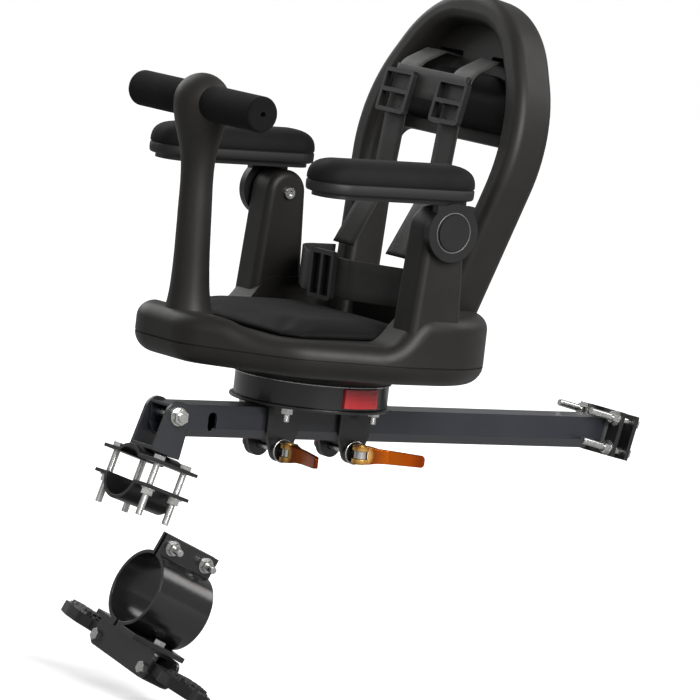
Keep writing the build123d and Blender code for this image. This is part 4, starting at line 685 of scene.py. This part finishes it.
for number, (y, z) in enumerate(both_ways(POST_BOLT_Y, POST_BOLT_Z), 1):
    threads(f"seatpost_thread_{number}", POST_FRAME, (POST_BOLT_X, y, z), (1, 0, 0), POST_TAIL, "frame_side")
for number, (x, y) in enumerate(both_ways(SADDLE_BOLT_X, SADDLE_BOLT_Y), 5):
    for part, (top, length) in SADDLE_THREADS.items():
        threads(f"saddle_{part}_{number}", TUBE_FRAME, (x, y, top), (0, 0, -1), length, "front_clamp")
flange_spread = FLANGE_BOLT_R * math.cos(FLANGE_BOLT_TURN), FLANGE_BOLT_R * math.sin(FLANGE_BOLT_TURN)
for number, (x, y) in enumerate(both_ways(*flange_spread), 9):
    threads(f"flange_thread_{number}", DRUM_FRAME, (x, y, FLANGE_TAIL_Z), (0, 0, -1), FLANGE_TAIL, "carriage")
for number, (x,) in enumerate(both_ways(FOOT_BOLT_X), 13):
    threads(f"downtube_thread_{number}", FOOT_FRAME, (x, FOOT_BOLT_Y, FOOT_BOLT_Z), (0, 1, 0), FOOT_TAIL,
            "frame_side")

# pedal treads: diamonds in the footrest's own directions, dark on the near pedal as painted shade and pale on
# the far one as painted light
FOOT_ACROSS = FOOT_FRAME.to_3x3() @ Vector((1, 0, 0))
FOOT_ALONG = FOOT_FRAME.to_3x3() @ Vector((0, 1, 0))
for hand, dark, light in (("left", (0.006, 0.006, 0.006), (0.045, 0.044, 0.042)),
                          ("right", (0.020, 0.020, 0.020), (0.300, 0.300, 0.295))):
    diamonds = tread(f"tread_{hand}", FOOT_ALONG, FOOT_ACROSS, dark, light)
    nodes[f"pedal_tread_{hand}"].data.materials[0] = diamonds

# bright rings round the hub caps, the lever cups and the drum's upper rim, in millimetres; the rings on the
# hub caps and the drum are painted highlights on their edges
HUB_RING_OUT, HUB_RING_BACK, HUB_RING_TUBE = 0.6, 1.3, 0.5
CUP_RING_IN, CUP_RING_BACK, CUP_RING_TUBE = 0.3, 0.1, 0.7
DRUM_RING_OUT, DRUM_RING_BACK, DRUM_RING_TUBE, DRUM_RING_STEPS = 0.3, 0.8, 0.5, 120
# the hub rings are pale beads that paint the highlights on the caps' edges
for side, hand in HANDS:
    low, high = (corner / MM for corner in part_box(f"hub_cap_{hand}"))
    mid = (low + high) / 2
    mid.y += side * ((high.y - low.y) / 2 - HUB_RING_BACK)
    ring(f"hub_highlight_ring_{hand}", mid, ACROSS, (high.x - low.x) / 2 + HUB_RING_OUT, HUB_RING_TUBE, PAINTED_HIGHLIGHT,
         f"armrest_{hand}")
cup_low, cup_high = (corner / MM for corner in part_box("qr_cup_washers"))
CUP_R = (cup_high.z - cup_low.z) / 2
for end, x in (("front", cup_high.x - CUP_R), ("rear", cup_low.x + CUP_R)):
    ring(f"cup_ring_{end}", (x, cup_high.y - CUP_RING_BACK, cup_low.z + CUP_R), ACROSS, CUP_R - CUP_RING_IN,
         CUP_RING_TUBE, ZINC, "carriage")
# the drum ring is a zinc bead that paints the highlight on the drum's upper rim
ring("drum_highlight_ring", (DRUM_X, 0, drum_high.z - DRUM_RING_BACK), UPRIGHT, DRUM_R + DRUM_RING_OUT, DRUM_RING_TUBE,
     ZINC, "seat", DRUM_RING_STEPS)

# studio, in metres: a white floor that glows away from the part, and what bounces and reflects of it
FLOOR_GAP, FLOOR_HALF, FLOOR_WAVES = 0.012, 6, 3.0
FLOOR_DARK, FLOOR_LIGHT = (0.86, 0.86, 0.86), (0.90, 0.90, 0.90)
FLOOR_MIDDLE, GLOW_FROM, GLOW_FULL, FLOOR_GLOW = (0.4, 0.0), 0.25, 1.1, 0.5
FLOOR_BOUNCE, GLOSSY_SHARE, WORLD_LIGHT = 0.12, 0.25, 0.08
LAMP_AIM = (0.33, 0, 0.08)
LAMPS = [("key", (0.6, 2.6, 1.5), 1.6, 116), ("front", (2.6, 0.9, 0.9), 1.5, 5),
         ("rim", (-1.6, 0.6, 1.6), 1.2, 16), ("fill", (0.6, -2.0, 1.4), 1.8, 24)]


def sees_white(tree):
    """1 for rays that show the backdrop whole, a share for reflections and what is seen through glass."""
    path = node(tree, "ShaderNodeLightPath")
    shiny = node(tree, "ShaderNodeMath", operation="MAXIMUM")
    tree.links.new(path.outputs["Is Glossy Ray"], shiny.inputs[0])
    tree.links.new(path.outputs["Is Transmission Ray"], shiny.inputs[1])
    part = node(tree, "ShaderNodeMath", operation="MULTIPLY")
    part.inputs[1].default_value = GLOSSY_SHARE
    tree.links.new(shiny.outputs["Value"], part.inputs[0])
    either = node(tree, "ShaderNodeMath", operation="MAXIMUM")
    tree.links.new(path.outputs["Is Camera Ray"], either.inputs[0])
    tree.links.new(part.outputs["Value"], either.inputs[1])
    return either.outputs["Value"]


def seen_or_lit(tree, seen, lit, output):
    """Shows one shader to rays that see white, and lights the part by the other."""
    pick = node(tree, "ShaderNodeMixShader")
    tree.links.new(sees_white(tree), pick.inputs["Fac"])
    tree.links.new(lit.outputs[0], pick.inputs[1])
    tree.links.new(seen.outputs[0], pick.inputs[2])
    tree.links.new(pick.outputs[0], output.inputs["Surface"])


def floor_coat(floor_z):
    """White floor whose glow grows away from the part, with a dim bounce of light."""
    mat, tree, shader, place = begin("floor", 0.9, specular=0.1)
    tree.links.new(tones(tree, noise(tree, place, FLOOR_WAVES), FLOOR_DARK, FLOOR_LIGHT),
                   shader.inputs["Base Color"])
    away = node(tree, "ShaderNodeVectorMath", operation="DISTANCE")
    away.inputs[1].default_value = (*FLOOR_MIDDLE, floor_z)
    tree.links.new(place, away.inputs[0])
    grow = node(tree, "ShaderNodeMapRange")
    grow.inputs["From Min"].default_value = GLOW_FROM
    grow.inputs["From Max"].default_value = GLOW_FULL
    grow.inputs["To Min"].default_value = FLOOR_GLOW
    grow.inputs["To Max"].default_value = 1.0
    tree.links.new(away.outputs["Value"], grow.inputs["Value"])
    glow = node(tree, "ShaderNodeEmission")
    tree.links.new(grow.outputs["Result"], glow.inputs["Strength"])
    bright = node(tree, "ShaderNodeAddShader")
    tree.links.new(shader.outputs[0], bright.inputs[0])
    tree.links.new(glow.outputs[0], bright.inputs[1])
    dim = node(tree, "ShaderNodeBsdfDiffuse")
    dim.inputs["Color"].default_value = (FLOOR_BOUNCE, FLOOR_BOUNCE, FLOOR_BOUNCE, 1)
    seen_or_lit(tree, bright, dim, tree.nodes["Material Output"])
    return mat


def add_floor():
    """Square floor a little under the part."""
    floor_z = CAD_LO.z - FLOOR_GAP
    corners = ((-1, -1), (1, -1), (1, 1), (-1, 1))
    mesh = bpy.data.meshes.new("floor")
    mesh.from_pydata([(x * FLOOR_HALF, y * FLOOR_HALF, floor_z) for x, y in corners], [], [(0, 1, 2, 3)])
    mesh.materials.append(floor_coat(floor_z))
    floor = bpy.data.objects.new("floor", mesh)
    scene.collection.objects.link(floor)


def add_world():
    """White backdrop that lights the part only faintly."""
    world = bpy.data.worlds.new("world")
    scene.world = world
    world.use_nodes = True
    tree = world.node_tree
    tree.nodes.clear()
    out = node(tree, "ShaderNodeOutputWorld")
    shaders = []
    for strength in (1.0, WORLD_LIGHT):
        light = node(tree, "ShaderNodeBackground")
        light.inputs["Color"].default_value = (1, 1, 1, 1)
        light.inputs["Strength"].default_value = strength
        shaders.append(light)
    seen_or_lit(tree, *shaders, out)


def lamp(name, place, size, power):
    """Square area lamp aimed at the part."""
    data = bpy.data.lights.new(name, "AREA")
    data.size, data.energy = size, power
    obj = bpy.data.objects.new(name, data)
    obj.location = place
    obj.rotation_euler = (Vector(LAMP_AIM) - Vector(place)).to_track_quat("-Z", "Y").to_euler()
    scene.collection.objects.link(obj)


add_floor()
add_world()
for settings in LAMPS:
    lamp(*settings)
scene.view_settings.view_transform = "Standard"
